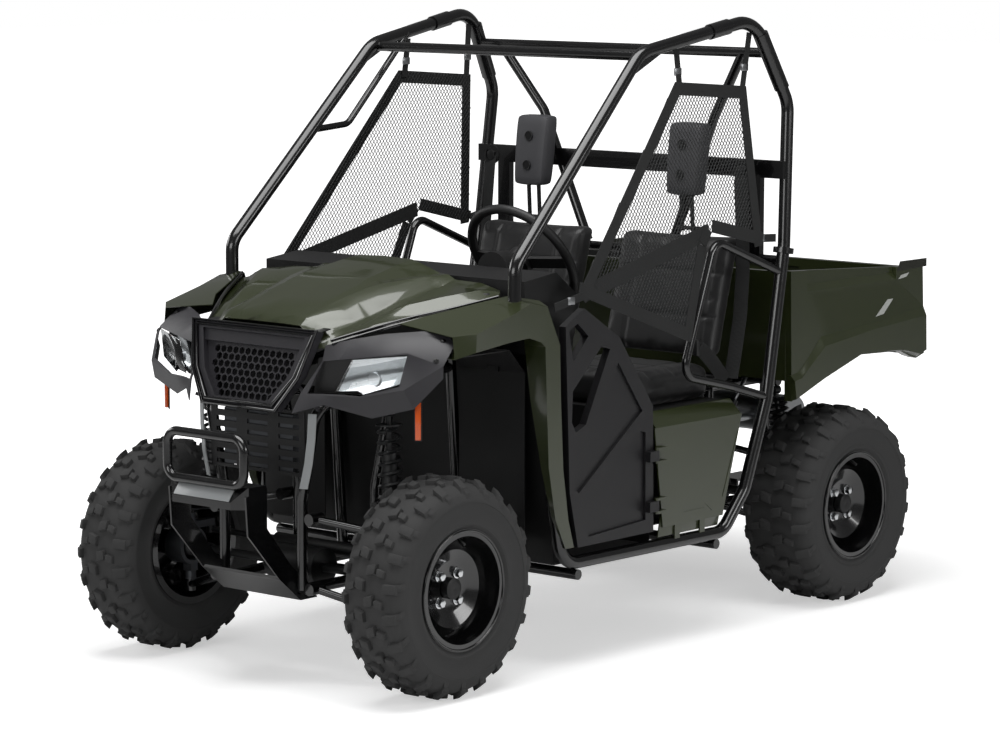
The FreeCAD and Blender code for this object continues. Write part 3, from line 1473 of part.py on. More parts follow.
def lamp_solid(shares, gap, start, depth):
    """A block behind the lamp's outline as the front shows it, grown by a gap."""
    xs, zs = (fascia_inner_x, fascia_outer_x), (fascia_low_z, fascia_high_z)
    ys = (fascia_rear_y, fascia_front_y)
    front = [(between(*xs, a), 0, between(*zs, c)) for a, b, c in shares]
    reach = [between(*ys, b) for a, b, c in shares]
    face = Part.Face(polygon(front))
    if gap:
        face = face.makeOffset2D(gap, join=2)
    column = face.extrude(Vector(0, min(reach) - depth * 2, 0))
    inner, outer = front[0][0], max(x for x, y, z in front)
    near, far = reach[0], reach[2]
    slope = (far - near) / (outer - inner)
    edges = [inner - depth, outer + depth]
    lean = [(x, near + slope * (x - inner) + start) for x in edges]
    back = [(x, y + depth) for x, y in reversed(lean)]
    slab = flat_prism(lean + back, zs[0] - depth, zs[1] + depth)
    return column.common(slab)


def fascias():
    xs = (fascia_inner_x, fascia_outer_x)
    ys = (fascia_rear_y, fascia_front_y)
    zs = (fascia_low_z, fascia_high_z)
    rows = [[in_box(shares, xs, ys, zs) for shares in row] for row in fascia_row_shares]
    opening = lamp_solid(bezel_shares, lamp_gap, -lamp_depth, lamp_depth * 3)
    shell = max(sheet(rows, panel_thickness).cut(opening).Solids, key=lambda piece: piece.Volume)
    stay = rod(fascia_stay_point, head_bend_point, stay_radius)
    shape = fused([shell, stay]).cut(head_tubes(frame_radius + seat_gap)[0])
    return both_sides(shape.cut(block(*fascia_wing_seat)))


def headlamps():
    lens = lamp_solid(lamp_shares, 0, 0, lamp_depth)
    bezel = lamp_solid(bezel_shares, 0, lamp_recess, lamp_depth - lamp_recess)
    return both_sides(fused([lens, bezel]))


def wings():
    xs = (wing_inner_x, body_half_width)
    ys = (wing_front_y, wing_rear_y)
    zs = (wing_low_z, wing_high_z)
    rows = [[in_box(shares, xs, ys, zs) for shares in row] for row in wing_row_shares]
    return both_sides(clear_of(sheet(rows, -panel_thickness), left_cage_cutter(trim_gap)))


def liners():
    """The inner arches behind the front wheels, with a crown that falls to the rear wall."""
    t = liner_thickness
    outline = [
        (liner_front_y, liner_high_z), (liner_rear_y - liner_crown, liner_high_z),
        (liner_rear_y, liner_high_z - liner_crown), (liner_rear_y, liner_low_z),
        (liner_rear_y - t, liner_low_z),
        (liner_rear_y - t, liner_high_z - liner_crown - t / 2),
        (liner_rear_y - liner_crown - t / 2, liner_high_z - t), (liner_front_y, liner_high_z - t),
    ]
    tab_y = (cowl_tube_y - t, cowl_tube_y + t)
    tab = block(liner_tab_x, tab_y, (liner_high_z - liner_crown - t, cowl_tube_z))
    shell = side_prism(outline, liner_inner_x, liner_outer_x)
    return both_sides(fused([shell, tab]).cut(cowl_tube(frame_radius + seat_gap)))


# Cab

def floor_tub():
    t = floor_thickness
    outline = [
        (toe_top_y, wall_top_z), (toe_top_y, toe_top_z), (floor_front_y, floor_z), (riser_y, floor_z),
        (riser_y, deck_z), (deck_rear_y, deck_z), (deck_rear_y, deck_z - t), (riser_y + t, deck_z - t),
        (riser_y + t, floor_z - t), (floor_front_y - t, floor_z - t), (toe_top_y - t, toe_top_z),
        (toe_top_y - t, wall_top_z),
    ]
    shell = side_prism(outline, -floor_half, floor_half)
    ys = (floor_front_y - tunnel_height, riser_y + t)
    tunnel = block((-tunnel_half, tunnel_half), ys, (floor_z - t, floor_z + tunnel_height))
    room = block(
        (t - tunnel_half, tunnel_half - t), (ys[0] - overrun, ys[1] + overrun),
        (floor_z - t - overrun, floor_z + tunnel_height - t))
    feet = []
    for side in (1, -1):
        for y in floor_foot_ys:
            xs = (side * rail_x - floor_foot, side * rail_x + floor_foot)
            foot_zs = (rail_z + frame_radius + seat_gap, floor_z)
            feet.append(block(xs, (y - floor_foot, y + floor_foot), foot_zs))
    return clear_of(fused([shell, tunnel] + feet).cut(room), cage_cutter(clear_gap))


def dashboard():
    """A hollow moulding, open below, with a hood for the dials before the steering wheel."""
    crown_y = between(dash_front_y, dash_rear_y, dash_crown_share)
    face_z = between(dash_low_z, dash_high_z, dash_face_share)
    outline = [
        (dash_front_y, dash_low_z), (dash_front_y, dash_high_z - frame_radius), (crown_y, dash_high_z),
        (dash_rear_y, face_z), (dash_rear_y - frame_radius, dash_low_z),
    ]
    w = dash_wall
    inside = [
        (dash_front_y + w, dash_low_z - overrun), (dash_front_y + w, dash_high_z - frame_radius - w),
        (crown_y, dash_high_z - w), (dash_rear_y - w, face_z - w),
        (dash_rear_y - frame_radius - w, dash_low_z - overrun),
    ]
    pod = rod((steering_wheel_x, pod_y[0], pod_z), (steering_wheel_x, pod_y[1], pod_z), pod_radius)
    dial_end = (steering_wheel_x, pod_y[1] + overrun, pod_z)
    dial = rod((steering_wheel_x, pod_y[1] - pod_depth, pod_z), dial_end, pod_radius - pod_depth)
    body = fused([side_prism(outline, -dash_half, dash_half), pod])
    body = body.cut(dial).cut(side_prism(inside, w - dash_half, dash_half - w))
    return clear_of(body, cage_cutter() + cowl_posts(frame_radius + seat_gap) + [column(seat_gap)])


hinge_x = body_half_width + hinge_offset_x
hinge_y = door_rear_y + hinge_offset_y


def side_panels():
    ys = (side_panel_front_y, side_panel_rear_y)
    zs = (side_panel_low_z, side_panel_high_z)
    outline = [(between(*ys, a), between(*zs, b)) for a, b in side_panel_outline_shares]
    inner = body_half_width - side_panel_thickness
    pieces = [side_prism(outline, inner, body_half_width)]
    for shares in side_panel_recess_shares:
        hollow = [(between(*ys, a), between(*zs, b)) for a, b in shares]
        groove = side_prism(hollow, body_half_width - side_panel_recess_depth, body_half_width + overrun)
        pieces[0] = pieces[0].cut(groove)
    for y in side_panel_tab_ys:
        tab_y = (y - side_panel_tab_width / 2, y + side_panel_tab_width / 2)
        pieces.append(block((inner, body_half_width), tab_y, (rocker_z, side_panel_low_z + overrun)))
    flange_y = (side_panel_front_y + side_panel_flange_inset, side_panel_rear_y - side_panel_flange_inset)
    ledge_x, ledge_z = body_half_width - side_panel_ledge[0], zs[1] - side_panel_ledge[1]
    low_z, high_z = deck_z - floor_thickness, deck_z + side_panel_thickness
    ledge = [
        (body_half_width, ledge_z), (ledge_x, high_z), (floor_half + seat_gap, high_z),
        (floor_half + seat_gap, low_z), (ledge_x, low_z), (inner, ledge_z - side_panel_thickness),
    ]
    pieces.append(cross_prism(ledge, *flange_y))
    reach = hinge_barrel_height / 2 + seat_gap
    for z in door_hinge_zs:
        pieces.append(rod((hinge_x, hinge_y, z - reach), (hinge_x, hinge_y, z + reach), hinge_pin_radius))
        for low in (z + reach, z - reach - hinge_lug_height):
            high = low + hinge_lug_height
            pieces.append(rod((hinge_x, hinge_y, low), (hinge_x, hinge_y, high), hinge_barrel_radius))
            xs = (body_half_width + hinge_offset_x - hinge_barrel_radius, hinge_x + hinge_barrel_radius)
            pieces.append(block(xs, (hinge_y, hinge_y + hinge_strap_reach), (low, high)))
            xs = (inner, hinge_x)
            ys = (hinge_y + hinge_strap_reach - hinge_barrel_radius, hinge_y + hinge_strap_reach)
            pieces.append(block(xs, ys, (low, high)))
    return both_sides(clear_of(fused(pieces), left_cage_cutter()))


def door():
    ys = (door_front_y, door_rear_y)
    zs = (door_low_z, door_high_z)
    outline = [(between(*ys, a), between(*zs, b)) for a, b in door_outline_shares]
    panel = side_prism(outline, body_half_width - door_thickness, body_half_width)
    groups = ((door_thickness + overrun, door_opening_shares), (door_recess_depth, door_recess_shares))
    for depth, group in groups:
        for shares in group:
            hollow = [(between(*ys, a), between(*zs, b)) for a, b in shares]
            panel = panel.cut(side_prism(hollow, body_half_width - depth, body_half_width + overrun))
    pieces = [panel]
    half = hinge_barrel_height / 2
    for z in door_hinge_zs:
        pieces.append(rod((hinge_x, hinge_y, z - half), (hinge_x, hinge_y, z + half), hinge_barrel_radius))
        xs = (body_half_width - door_thickness / 2, hinge_x + hinge_barrel_radius)
        pieces.append(block(xs, (hinge_y - hinge_strap_reach, hinge_y), (z - half, z + half)))
    shape = fused(pieces)
    for z in door_hinge_zs:
        start, end = (hinge_x, hinge_y, z - hinge_barrel_height), (hinge_x, hinge_y, z + hinge_barrel_height)
        shape = shape.cut(rod(start, end, hinge_pin_radius + bearing_gap))
    return shape


def pedals():
    pieces = []
    for x in pedal_x:
        half = pedal_width / 2
        pad_ys, pad_zs = (pedal_y, pedal_y + pedal_thickness), (pedal_z, pedal_z + pedal_height)
        pad = block((x - half, x + half), pad_ys, pad_zs)
        share = (pedal_pivot_z - floor_z) / (toe_top_z - floor_z)
        board_y = between(floor_front_y, toe_top_y, share) + seat_gap
        middle = (x, pedal_y + pedal_thickness / 2, pedal_z + pedal_height / 2)
        arm = rod(middle, (x, board_y + pedal_arm_radius * 2, pedal_pivot_z), pedal_arm_radius)
        xs = (x - half / 2, x + half / 2)
        pivot_zs = (pedal_pivot_z - half / 2, pedal_pivot_z + half / 2)
        pivot = block(xs, (board_y + pedal_arm_radius, board_y + pedal_arm_radius * 3), pivot_zs)
        foot = block(xs, (board_y + seat_gap, board_y + pedal_arm_radius), (pedal_pivot_z, pivot_zs[1]))
        pieces.append(fused([pad, arm, pivot, foot]))
    return Part.makeCompound(pieces)


# Seats

def rounded(shape, radius):
    return shape.makeFillet(radius, shape.Edges)


def cushions():
    size_z = (deck_z + seat_gap, deck_z + cushion_height)
    pad = block((seat_inner_x, seat_outer_x), (cushion_front_y, cushion_rear_y), size_z)
    free_y = cushion_rear_y - cushion_round
    top = [e for e in pad.Edges if e.BoundBox.ZMin > size_z[0] + cushion_round and e.BoundBox.YMin < free_y]
    return both_sides(pad.makeFillet(cushion_round, top))


def leaning_pad(xs, low_y, high_y, low_z, high_z, thickness):
    outline = [(low_y, low_z), (high_y, high_z), (high_y + thickness, high_z), (low_y + thickness, low_z)]
    return side_prism(outline, *xs)


def seat_backs():
    pad = leaning_pad(
        (seat_inner_x, seat_outer_x), seat_back_low_y, seat_back_high_y, seat_back_low_z, seat_back_high_z,
        seat_back_thickness)
    return both_sides(rounded(pad, seat_back_round))


def headrests():
    pad = rounded(leaning_pad(
        (headrest_inner_x, headrest_outer_x), headrest_low_y, headrest_high_y, headrest_low_z, headrest_high_z,
        headrest_thickness), headrest_round)
    middle_x = (headrest_inner_x + headrest_outer_x) / 2
    for share in headrest_hole_shares:
        y = between(headrest_low_y, headrest_high_y, share)
        z = between(headrest_low_z, headrest_high_z, share)
        hole = rod((middle_x, y - overrun, z), (middle_x, y + headrest_hole_depth, z), headrest_hole_radius)
        pad = pad.cut(hole)
    post_x = (seat_inner_x + seat_outer_x) / 2
    post_y = seat_back_high_y + seat_back_thickness / 2
    head_y = headrest_low_y + headrest_thickness / 2
    head = (middle_x, head_y, headrest_low_z + headrest_hole_depth)
    post = rod((post_x, post_y, seat_back_high_z - headrest_post_radius), head, headrest_post_radius)
    foot = block(
        (seat_inner_x, seat_outer_x), (seat_back_low_y, headrest_high_y + headrest_thickness),
        (seat_back_low_z, seat_back_high_z + seat_gap))
    return both_sides(fused([pad, post.cut(foot)]))


# Load bed

def bed_flare(side):
    """The lip over the rear wheel, which slopes out from the side wall."""
    wires = []
    sections = (
        (bed_half_width - bed_wall / 2, bed_flare_root_shares), (bed_half_width, bed_flare_root_shares),
        (bed_half_width + bed_flare_reach, bed_flare_shares),
    )
    for x, shares in sections:
        outline = [(between(bed_front_y, tail_y, a), between(bed_low_z, bed_high_z, b)) for a, b in shares]
        wires.append(polygon([(side * x, y, z) for y, z in outline]))
    return Part.makeLoft(wires, True, True)


def bed():
    ys, zs = (bed_front_y, tail_y), (bed_low_z, bed_high_z)
    outline = [(between(*ys, a), between(*zs, b)) for a, b in bed_side_outline_shares]
    pieces = []
    inner = bed_half_width - bed_wall
    for side in (1, -1):
        wall = side_prism(outline, *sorted((side * inner, side * bed_half_width)))
        near, far = side * (bed_half_width - bed_strip_depth), side * (bed_half_width + overrun)
        strip = [
            (far, bed_strip_zs[0] - overrun), (side * bed_half_width, bed_strip_zs[0]), (near, bed_strip_zs[1]),
            (near, bed_high_z + overrun), (far, bed_high_z + overrun),
        ]
        pieces.append(wall.cut(cross_prism(strip, *bed_strip_ys)))
        pieces.append(bed_flare(side))
        xs = sorted((side * bed_rail_inner_x, side * (bed_rail_inner_x + bed_rail_width)))
        rail_end = bed_pivot_y + bed_ear_half
        pieces.append(block(xs, (bed_rail_front_y, rail_end), (bed_floor_z - bed_rail_height, bed_floor_z)))
        xs = sorted((side * bed_rail_inner_x, side * (bed_rail_inner_x + bed_ear_thickness)))
        ear_y = (bed_pivot_y - bed_ear_half, bed_pivot_y + bed_ear_half)
        pieces.append(block(xs, ear_y, (bed_pivot_z - bed_ear_half, bed_floor_z - bed_rail_height / 2)))
    xs = (-inner - overrun, inner + overrun)
    floor_top = bed_floor_z + bed_floor_thickness
    pieces.append(block(xs, (bed_front_y + bed_wall / 2, sill_rear_y), (bed_floor_z, floor_top)))
    pieces.append(block(xs, (sill_rear_y - sill_depth, sill_rear_y), (sill_low_z, floor_top)))
    front_zs = (bed_floor_z - bed_rail_height, bed_high_z - overrun)
    pieces.append(block(xs, (bed_front_y + overrun, bed_front_y + bed_wall), front_zs))
    pin_start = bed_rail_inner_x + bed_rail_width / 2
    pin_end = strut_x - strut_eye_width / 2 - strut_pin_gap
    pin_stop = (pin_end, strut_head_y, strut_head_z)
    pieces.append(rod((pin_start, strut_head_y, strut_head_z), pin_stop, strut_pin_radius))
    shape = fused(pieces)
    reach = bed_pin_radius + bearing_gap
    pivot_end = (bed_half_width, bed_pivot_y, bed_pivot_z)
    shape = shape.cut(rod((-bed_half_width, bed_pivot_y, bed_pivot_z), pivot_end, reach))
    return shape.cut(gate_pins(bearing_gap))


def tailgate():
    half = bed_half_width - bed_wall - clear_gap
    outline = [
        (gate_low_y, gate_low_z), (gate_low_y - gate_lean, gate_high_z),
        (gate_low_y - gate_lean + gate_thickness, gate_high_z),
        (gate_low_y + gate_thickness, gate_low_z),
    ]
    panel = side_prism(outline, -half, half)
    share = (gate_pocket_z - gate_low_z) / (gate_high_z - gate_low_z)
    inner_y = gate_low_y - gate_lean * share
    for x in gate_pocket_xs:
        xs = (x - gate_pocket_half, x + gate_pocket_half)
        zs = (gate_pocket_z - gate_pocket_height / 2, gate_pocket_z + gate_pocket_height / 2)
        panel = panel.cut(block(xs, (inner_y - gate_lean, inner_y + gate_pocket_depth), zs))
    return panel.fuse(gate_pins(0))


def gate_pins(gap):
    y, z = gate_low_y + gate_pin_reach, gate_low_z + gate_pin_reach
    end = bed_half_width - bed_wall / 2 + gap
    return rod((-end, y, z), (end, y, z), gate_pin_radius + gap)


def tail_lamps():
    xs = (tail_lamp_inner_x, tail_lamp_outer_x)
    ys = (sill_rear_y + seat_gap, sill_rear_y + seat_gap + tail_lamp_depth)
    return both_sides(block(xs, ys, (tail_lamp_low_z, tail_lamp_high_z)))


# Strut that helps the bed up

def strut_line():
    foot = Vector(strut_x, strut_foot_y, strut_foot_z)
    head = Vector(strut_x, strut_head_y, strut_head_z)
    return foot, head, (head - foot).normalize()


def eye(centre, radius, bore):
    half = Vector(strut_eye_width / 2, 0, 0)
    ring = rod(centre - half, centre + half, radius)
    return ring, rod(centre - half * 2, centre + half * 2, bore)


def strut_body():
    foot, head, way = strut_line()
    ring, bore = eye(foot, strut_eye_radius, strut_pin_radius + bearing_gap)
    end = foot + (head - foot) * strut_body_share
    neck = rod(foot + way * strut_pin_radius * 2, foot + way * strut_eye_radius * 2, strut_rod_radius)
    barrel = rod(foot + way * strut_eye_radius * 1.5, end, strut_body_radius)
    cavity = rod(foot + way * strut_eye_radius * 3, end + way * overrun, strut_bore_radius)
    return fused([ring, neck, barrel]).cut(bore).cut(cavity)


def strut_rod():
    foot, head, way = strut_line()
    ring, bore = eye(head, strut_eye_radius, strut_pin_radius + bearing_gap)
    start = foot + way * (strut_eye_radius * 3 + overrun)
    shaft = rod(start, head - way * strut_pin_radius * 2, strut_rod_radius)
    return fused([ring, shaft]).cut(bore)


# Steering gear that stays put

def column(gap):
    axis = steering_wheel_axis()
    centre = Vector(steering_wheel_x, steering_wheel_y, steering_wheel_z)
    top = centre - axis * (steering_hub_depth + seat_gap)
    return rod(top + axis * gap, top - axis * (column_length + gap), column_radius + gap)


def steering_gear():
    low = rail_z + frame_radius + seat_gap
    housing_end = (rack_housing_half, rack_y, tie_rod_z)
    housing = rod((-rack_housing_half, rack_y, tie_rod_z), housing_end, rack_housing_radius)
    pieces = [housing]
    for side in (1, -1):
        xs = (side * rail_x - bracket_half, side * rail_x + bracket_half)
        pieces.append(block(xs, (rack_y - bracket_half, rack_y + bracket_half), (low, tie_rod_z)))
    bore = rod((-kingpin_x, rack_y, tie_rod_z), (kingpin_x, rack_y, tie_rod_z), rack_radius + bearing_gap)
    return Part.makeCompound([fused(pieces).cut(bore), column(0)])


def main():
    os.makedirs("parts", exist_ok=True)
    left = cage_side()
    left_door = door()
    left_knuckle = knuckle()
    nodes = {
        "main_frame": base_frame(),
        "front_frame": front_frame(),
        "rear_frame": rear_frame(),
        "rops_left": left,
        "rops_right": mirrored(left).fuse(grab_bar()),
        "rops_cross": cage_cross(),
        "hip_bars": hip_bars(),
        "side_nets": side_nets(),
        "knuckle_left": left_knuckle,
        "knuckle_right": mirrored(left_knuckle),
        "rear_hub_carriers": both_sides(rear_carrier()),
        "front_arms": front_arms(),
        "rear_arms": rear_arms(),
        "shocks": shocks(),
        "driveline": driveline(),
        "engine": engine(),
        "muffler": muffler(),
        "steering_rack": steering_rack(),
        "steering_wheel": steering_wheel(),
        "radiator_guard": radiator_guard(),
        "front_bumper": front_bumper(),
        "bonnet": bonnet(),
        "grille": grille(),
        "front_fascias": fascias(),
        "headlamps": headlamps(),
        "front_wings": wings(),
        "wheel_arch_liners": liners(),
        "floor_tub": floor_tub(),
        "dashboard": dashboard(),
        "side_panels": side_panels(),
        "door_left": left_door,
        "door_right": mirrored(left_door),
        "pedals": pedals(),
        "seat_cushions": cushions(),
        "seat_backs": seat_backs(),
        "headrests": headrests(),
        "load_bed": bed(),
        "tailgate": tailgate(),
        "tail_lamps": tail_lamps(),
        "strut_body": strut_body(),
        "strut_rod": strut_rod(),
        "steering_gear": steering_gear(),
        "radiator": radiator(),
    }
    for name, x, width, rim_width, y in (
        ("front", front_tyre_x, front_tyre_width, front_rim_width, front_axle_y),
        ("rear", rear_tyre_x, rear_tyre_width, rear_rim_width, rear_axle_y),
    ):
        left_tyre, left_rim = tyre(x, width, rim_width, y), rim(x, rim_width, y)
        nodes[name + "_tyre_left"] = left_tyre
        nodes[name + "_tyre_right"] = mirrored(left_tyre)
        nodes[name + "_rim_left"] = left_rim
        nodes[name + "_rim_right"] = mirrored(left_rim)
    for name, shape in nodes.items():
        shape.exportStep(os.path.join("parts", name + ".step"))
        print(name, len(shape.Solids), shape.isValid(), round(shape.Volume))


main()
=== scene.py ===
"""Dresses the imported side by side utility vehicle: finishes, soft goods, tread, trim and studio."""

import json
import logging
import math
from collections.abc import Iterable, Sequence
from dataclasses import dataclass
from enum import Enum

import bmesh
import bpy
from mathutils import Matrix, Vector

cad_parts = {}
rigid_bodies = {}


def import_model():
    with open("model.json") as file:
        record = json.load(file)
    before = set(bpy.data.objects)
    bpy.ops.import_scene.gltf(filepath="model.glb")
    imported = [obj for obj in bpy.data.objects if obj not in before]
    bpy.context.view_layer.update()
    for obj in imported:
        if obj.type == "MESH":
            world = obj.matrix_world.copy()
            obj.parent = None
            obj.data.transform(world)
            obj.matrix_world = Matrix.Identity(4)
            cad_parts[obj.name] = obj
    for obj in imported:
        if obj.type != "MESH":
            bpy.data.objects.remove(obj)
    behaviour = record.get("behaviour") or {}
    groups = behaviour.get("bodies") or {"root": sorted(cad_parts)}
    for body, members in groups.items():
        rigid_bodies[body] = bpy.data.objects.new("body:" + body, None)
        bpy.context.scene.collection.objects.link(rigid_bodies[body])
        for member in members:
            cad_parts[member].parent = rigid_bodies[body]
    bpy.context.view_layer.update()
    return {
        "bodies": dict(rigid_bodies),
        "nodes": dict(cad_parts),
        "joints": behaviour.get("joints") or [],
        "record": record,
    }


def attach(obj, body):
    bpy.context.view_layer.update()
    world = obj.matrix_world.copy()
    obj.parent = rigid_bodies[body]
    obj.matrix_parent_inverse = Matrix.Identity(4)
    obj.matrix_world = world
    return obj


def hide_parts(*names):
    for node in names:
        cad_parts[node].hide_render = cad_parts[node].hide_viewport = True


LOG = logging.getLogger("utility_vehicle")
Shape = bmesh.types.BMesh
Piece = bpy.types.Object
Tree = bpy.types.NodeTree
Socket = bpy.types.NodeSocket
Point = Sequence[float]
Pair = tuple[float, float]

# Sizes are millimetres where nothing else is said. MM turns them into metres.
MM = 0.001
WELD_DISTANCE = 0.00002
SMOOTH_ANGLE = math.radians(32)
SIDES = ((1, "left"), (-1, "right"))
X_AXIS, Y_AXIS, Z_AXIS = (Vector(axis) for axis in ((1, 0, 0), (0, 1, 0), (0, 0, 1)))
FRONT_AXLE_Y = -944.0
REAR_AXLE_Y = 910.0
AXLE_Z = 305.0
BED_INNER_HALF = 549.5
BED_INNER_FRONT = 630.0
BED_FLOOR = 768.0
DIRT_MM = 180.0
FLAKE_MM = 0.9
WEAR_SHARE = 0.12


class Pattern(Enum):
    """The small surface patterns that a finish can carry."""

    NONE = "none"
    FLAKE = "flake"
    ORANGE_PEEL = "orange peel"
    GRAIN = "grain"
    WEAVE = "weave"
    BRUSHED = "brushed"
    CAST = "cast"
    RUBBER = "rubber"


def linear(hex_colour: str) -> tuple[float, float, float, float]:
    """Turns an sRGB hex colour into a linear one.

    Args:
        hex_colour: Six hex digits, such as "3a3d2b".

    Returns:
        Red, green, blue and an alpha of 1.
    """
    values = [int(hex_colour[i:i + 2], 16) / 255 for i in (0, 2, 4)]
    return (*(v / 12.92 if v <= 0.04045 else ((v + 0.055) / 1.055) ** 2.4 for v in values), 1.0)


def cleared(owner: bpy.types.Material | bpy.types.World) -> Tree:
    """Empties the node tree of a material or world.

    Args:
        owner: The material or world.

    Returns:
        Its node tree.
    """
    owner.use_nodes = True
    owner.node_tree.nodes.clear()
    return owner.node_tree


def add_node(tree: Tree, kind: str, settings: dict[str, object] | None = None,
             **links: Socket) -> bpy.types.Node:
    """Adds one shader node with its settings and links.

    Args:
        tree: The node tree that gets the node.
        kind: The node's Blender type after its prefix.
        settings: Attributes or names of inputs, with their values.
        links: Names of inputs with _ for a space, or i and an input's number, with the sockets that feed them.

    Returns:
        The new node.
    """
    node = tree.nodes.new("ShaderNode" + kind)
    for name, value in (settings or {}).items():
        if hasattr(node, name):
            setattr(node, name, value)
        else:
            node.inputs[name].default_value = value
    for name, socket in links.items():
        numbered = name[0] == "i" and name[1:].isdigit()
        tree.links.new(socket, node.inputs[int(name[1:]) if numbered else name.replace("_", " ")])
    return node


@dataclass(frozen=True)
class Finish:
    """One real finish: its colour, shader values and small surface pattern, with the pattern's real sizes."""

    name: str
    colour: str
    roughness: float
    slot: str
    pattern: Pattern = Pattern.NONE
    pattern_mm: float = 1.0
    bump_mm: float = 0.0
    metallic: float = 0.0
    ior: float = 1.5
    coat: float = 0.0
    coat_roughness: float = 0.05
    sheen: float = 0.0
    transmission: float = 0.0
    second_colour: str | None = None
    mottle: float = 0.12

    def build(self) -> bpy.types.Material:
        """Makes the material, or finds it where it has been made.

        Returns:
            The Blender material.
        """
        made = bpy.data.materials.get(self.name)
        if made is not None:
            return made
        material = bpy.data.materials.new(self.name)
        tree = cleared(material)
        place = add_node(tree, "TexCoord").outputs["Object"]
        broad = add_node(tree, "TexNoise", {"Scale": 1 / (DIRT_MM * MM), "Detail": 4.0}, Vector=place)
        clean = linear(self.colour)
        dark = (*(v * (1 - self.mottle) for v in clean[:3]), 1.0)
        tint = add_node(tree, "Mix", {"data_type": "RGBA"}, i0=broad.outputs["Fac"])
        tint.inputs[6].default_value = clean
        tint.inputs[7].default_value = linear(self.second_colour) if self.second_colour else dark
        colour = tint.outputs[2]
        if self.pattern is Pattern.FLAKE:
            colour = self.flakes(tree, place, colour)
        worn = add_node(tree, "MapRange", {"To Min": self.roughness * (1 - WEAR_SHARE),
                                           "To Max": self.roughness * (1 + WEAR_SHARE)},
                        Value=broad.outputs["Fac"])
        shader = add_node(tree, "BsdfPrincipled", {
            "Metallic": self.metallic, "IOR": self.ior, "Coat Weight": self.coat,
            "Coat Roughness": self.coat_roughness, "Sheen Weight": self.sheen,
            "Transmission Weight": self.transmission,
        }, Base_Color=colour, Roughness=worn.outputs["Result"])
        height = self.height(tree, place)
        if height is not None:
            bump = add_node(tree, "Bump", {"Distance": self.bump_mm * MM, "Strength": 1.0}, Height=height)
            tree.links.new(bump.outputs["Normal"], shader.inputs["Normal"])
        add_node(tree, "OutputMaterial", Surface=shader.outputs["BSDF"])
        return material

    def height(self, tree: Tree, place: Socket) -> Socket | None:
        """Makes the height of the small pattern.

        Args:
            tree: The material's node tree.
            place: Object coordinates.

        Returns:
            A height socket, or None for a plain surface.
        """
        scale = 1 / (self.pattern_mm * MM)
        if self.pattern in (Pattern.ORANGE_PEEL, Pattern.CAST, Pattern.FLAKE):
            return add_node(tree, "TexNoise", {"Scale": scale, "Detail": 2.0}, Vector=place).outputs["Fac"]
        if self.pattern in (Pattern.GRAIN, Pattern.RUBBER):
            return add_node(tree, "TexVoronoi", {"Scale": scale}, Vector=place).outputs["Distance"]
        if self.pattern is Pattern.WEAVE:
            warp, weft = (add_node(tree, "TexWave", {"Scale": scale / math.tau, "bands_direction": axis},
                                   Vector=place).outputs["Fac"] for axis in "ZY")
            return add_node(tree, "Math", {"operation": "MULTIPLY"}, i0=warp, i1=weft).outputs["Value"]
        if self.pattern is Pattern.BRUSHED:
            long = add_node(tree, "Mapping", {"Scale": (scale, scale * 0.04, scale)}, Vector=place)
            return add_node(tree, "TexNoise", {"Scale": 1.0}, Vector=long.outputs["Vector"]).outputs["Fac"]
        return None

    def flakes(self, tree: Tree, place: Socket, colour: Socket) -> Socket:
        """Adds the light metal flakes of a metallic paint.

        Args:
            tree: The material's node tree.
            place: Object coordinates.
            colour: The colour under the flakes.

        Returns:
            The colour with flakes.
        """
        cells = add_node(tree, "TexVoronoi", {"Scale": 1 / (FLAKE_MM * MM)}, Vector=place)
        spot = add_node(tree, "MapRange", {"From Min": 0.0, "From Max": 0.25, "To Min": 1.35, "To Max": 1.0},
                        Value=cells.outputs["Distance"])
        mixed = add_node(tree, "VectorMath", {"operation": "SCALE"}, i0=colour, Scale=spot.outputs["Result"])
        return mixed.outputs["Vector"]


# Mass-coloured polypropylene with a clear gloss coat and fine flake: soft olive highlights, deep green shade.
OLIVE_GLOSS = Finish("olive_metallic_gloss_moulding", "2c3317", 0.34, "body_green", Pattern.FLAKE, 6.0, 0.02,
                     metallic=0.15, coat=0.9, coat_roughness=0.07, second_colour="262c13")
# Steel tube with gloss black powder coat: sharp bright lines along each tube.
POWDER_COAT = Finish("gloss_black_powder_coat", "070708", 0.24, "frame_paint", Pattern.ORANGE_PEEL, 2.2, 0.03,
                     coat=0.6)
# Mass-coloured plastics with a fine moulded grain.
DARK_PLASTIC = Finish("dark_grey_grained_plastic", "262529", 0.46, "dark_plastic", Pattern.GRAIN, 0.9, 0.06,
                      second_colour="242327")
DOOR_PLASTIC = Finish("door_grained_plastic", "100f12", 0.44, "dark_plastic", Pattern.GRAIN, 0.9, 0.06)
BLACK_PLASTIC = Finish("black_grained_plastic", "09090a", 0.50, "black_plastic", Pattern.GRAIN, 1.0, 0.06)
BED_LINER = Finish("black_moulded_bed", "0e0e0e", 0.55, "bed_liner", Pattern.GRAIN, 1.2, 0.1)
# Carbon-black rubber, dull with a slight grey bloom.
TYRE_RUBBER = Finish("tyre_rubber", "1d1f20", 0.58, "tyre_rubber", Pattern.RUBBER, 1.3, 0.10,
                     second_colour="17191a")
RIM_ENAMEL = Finish("gloss_black_rim_enamel", "0a0a0b", 0.18, "rim_paint", Pattern.ORANGE_PEEL, 3.0, 0.02,
                    coat=0.8, coat_roughness=0.04)
SEAT_VINYL = Finish("black_seat_vinyl", "09090a", 0.42, "seat_vinyl", Pattern.GRAIN, 1.4, 0.12, sheen=0.1)
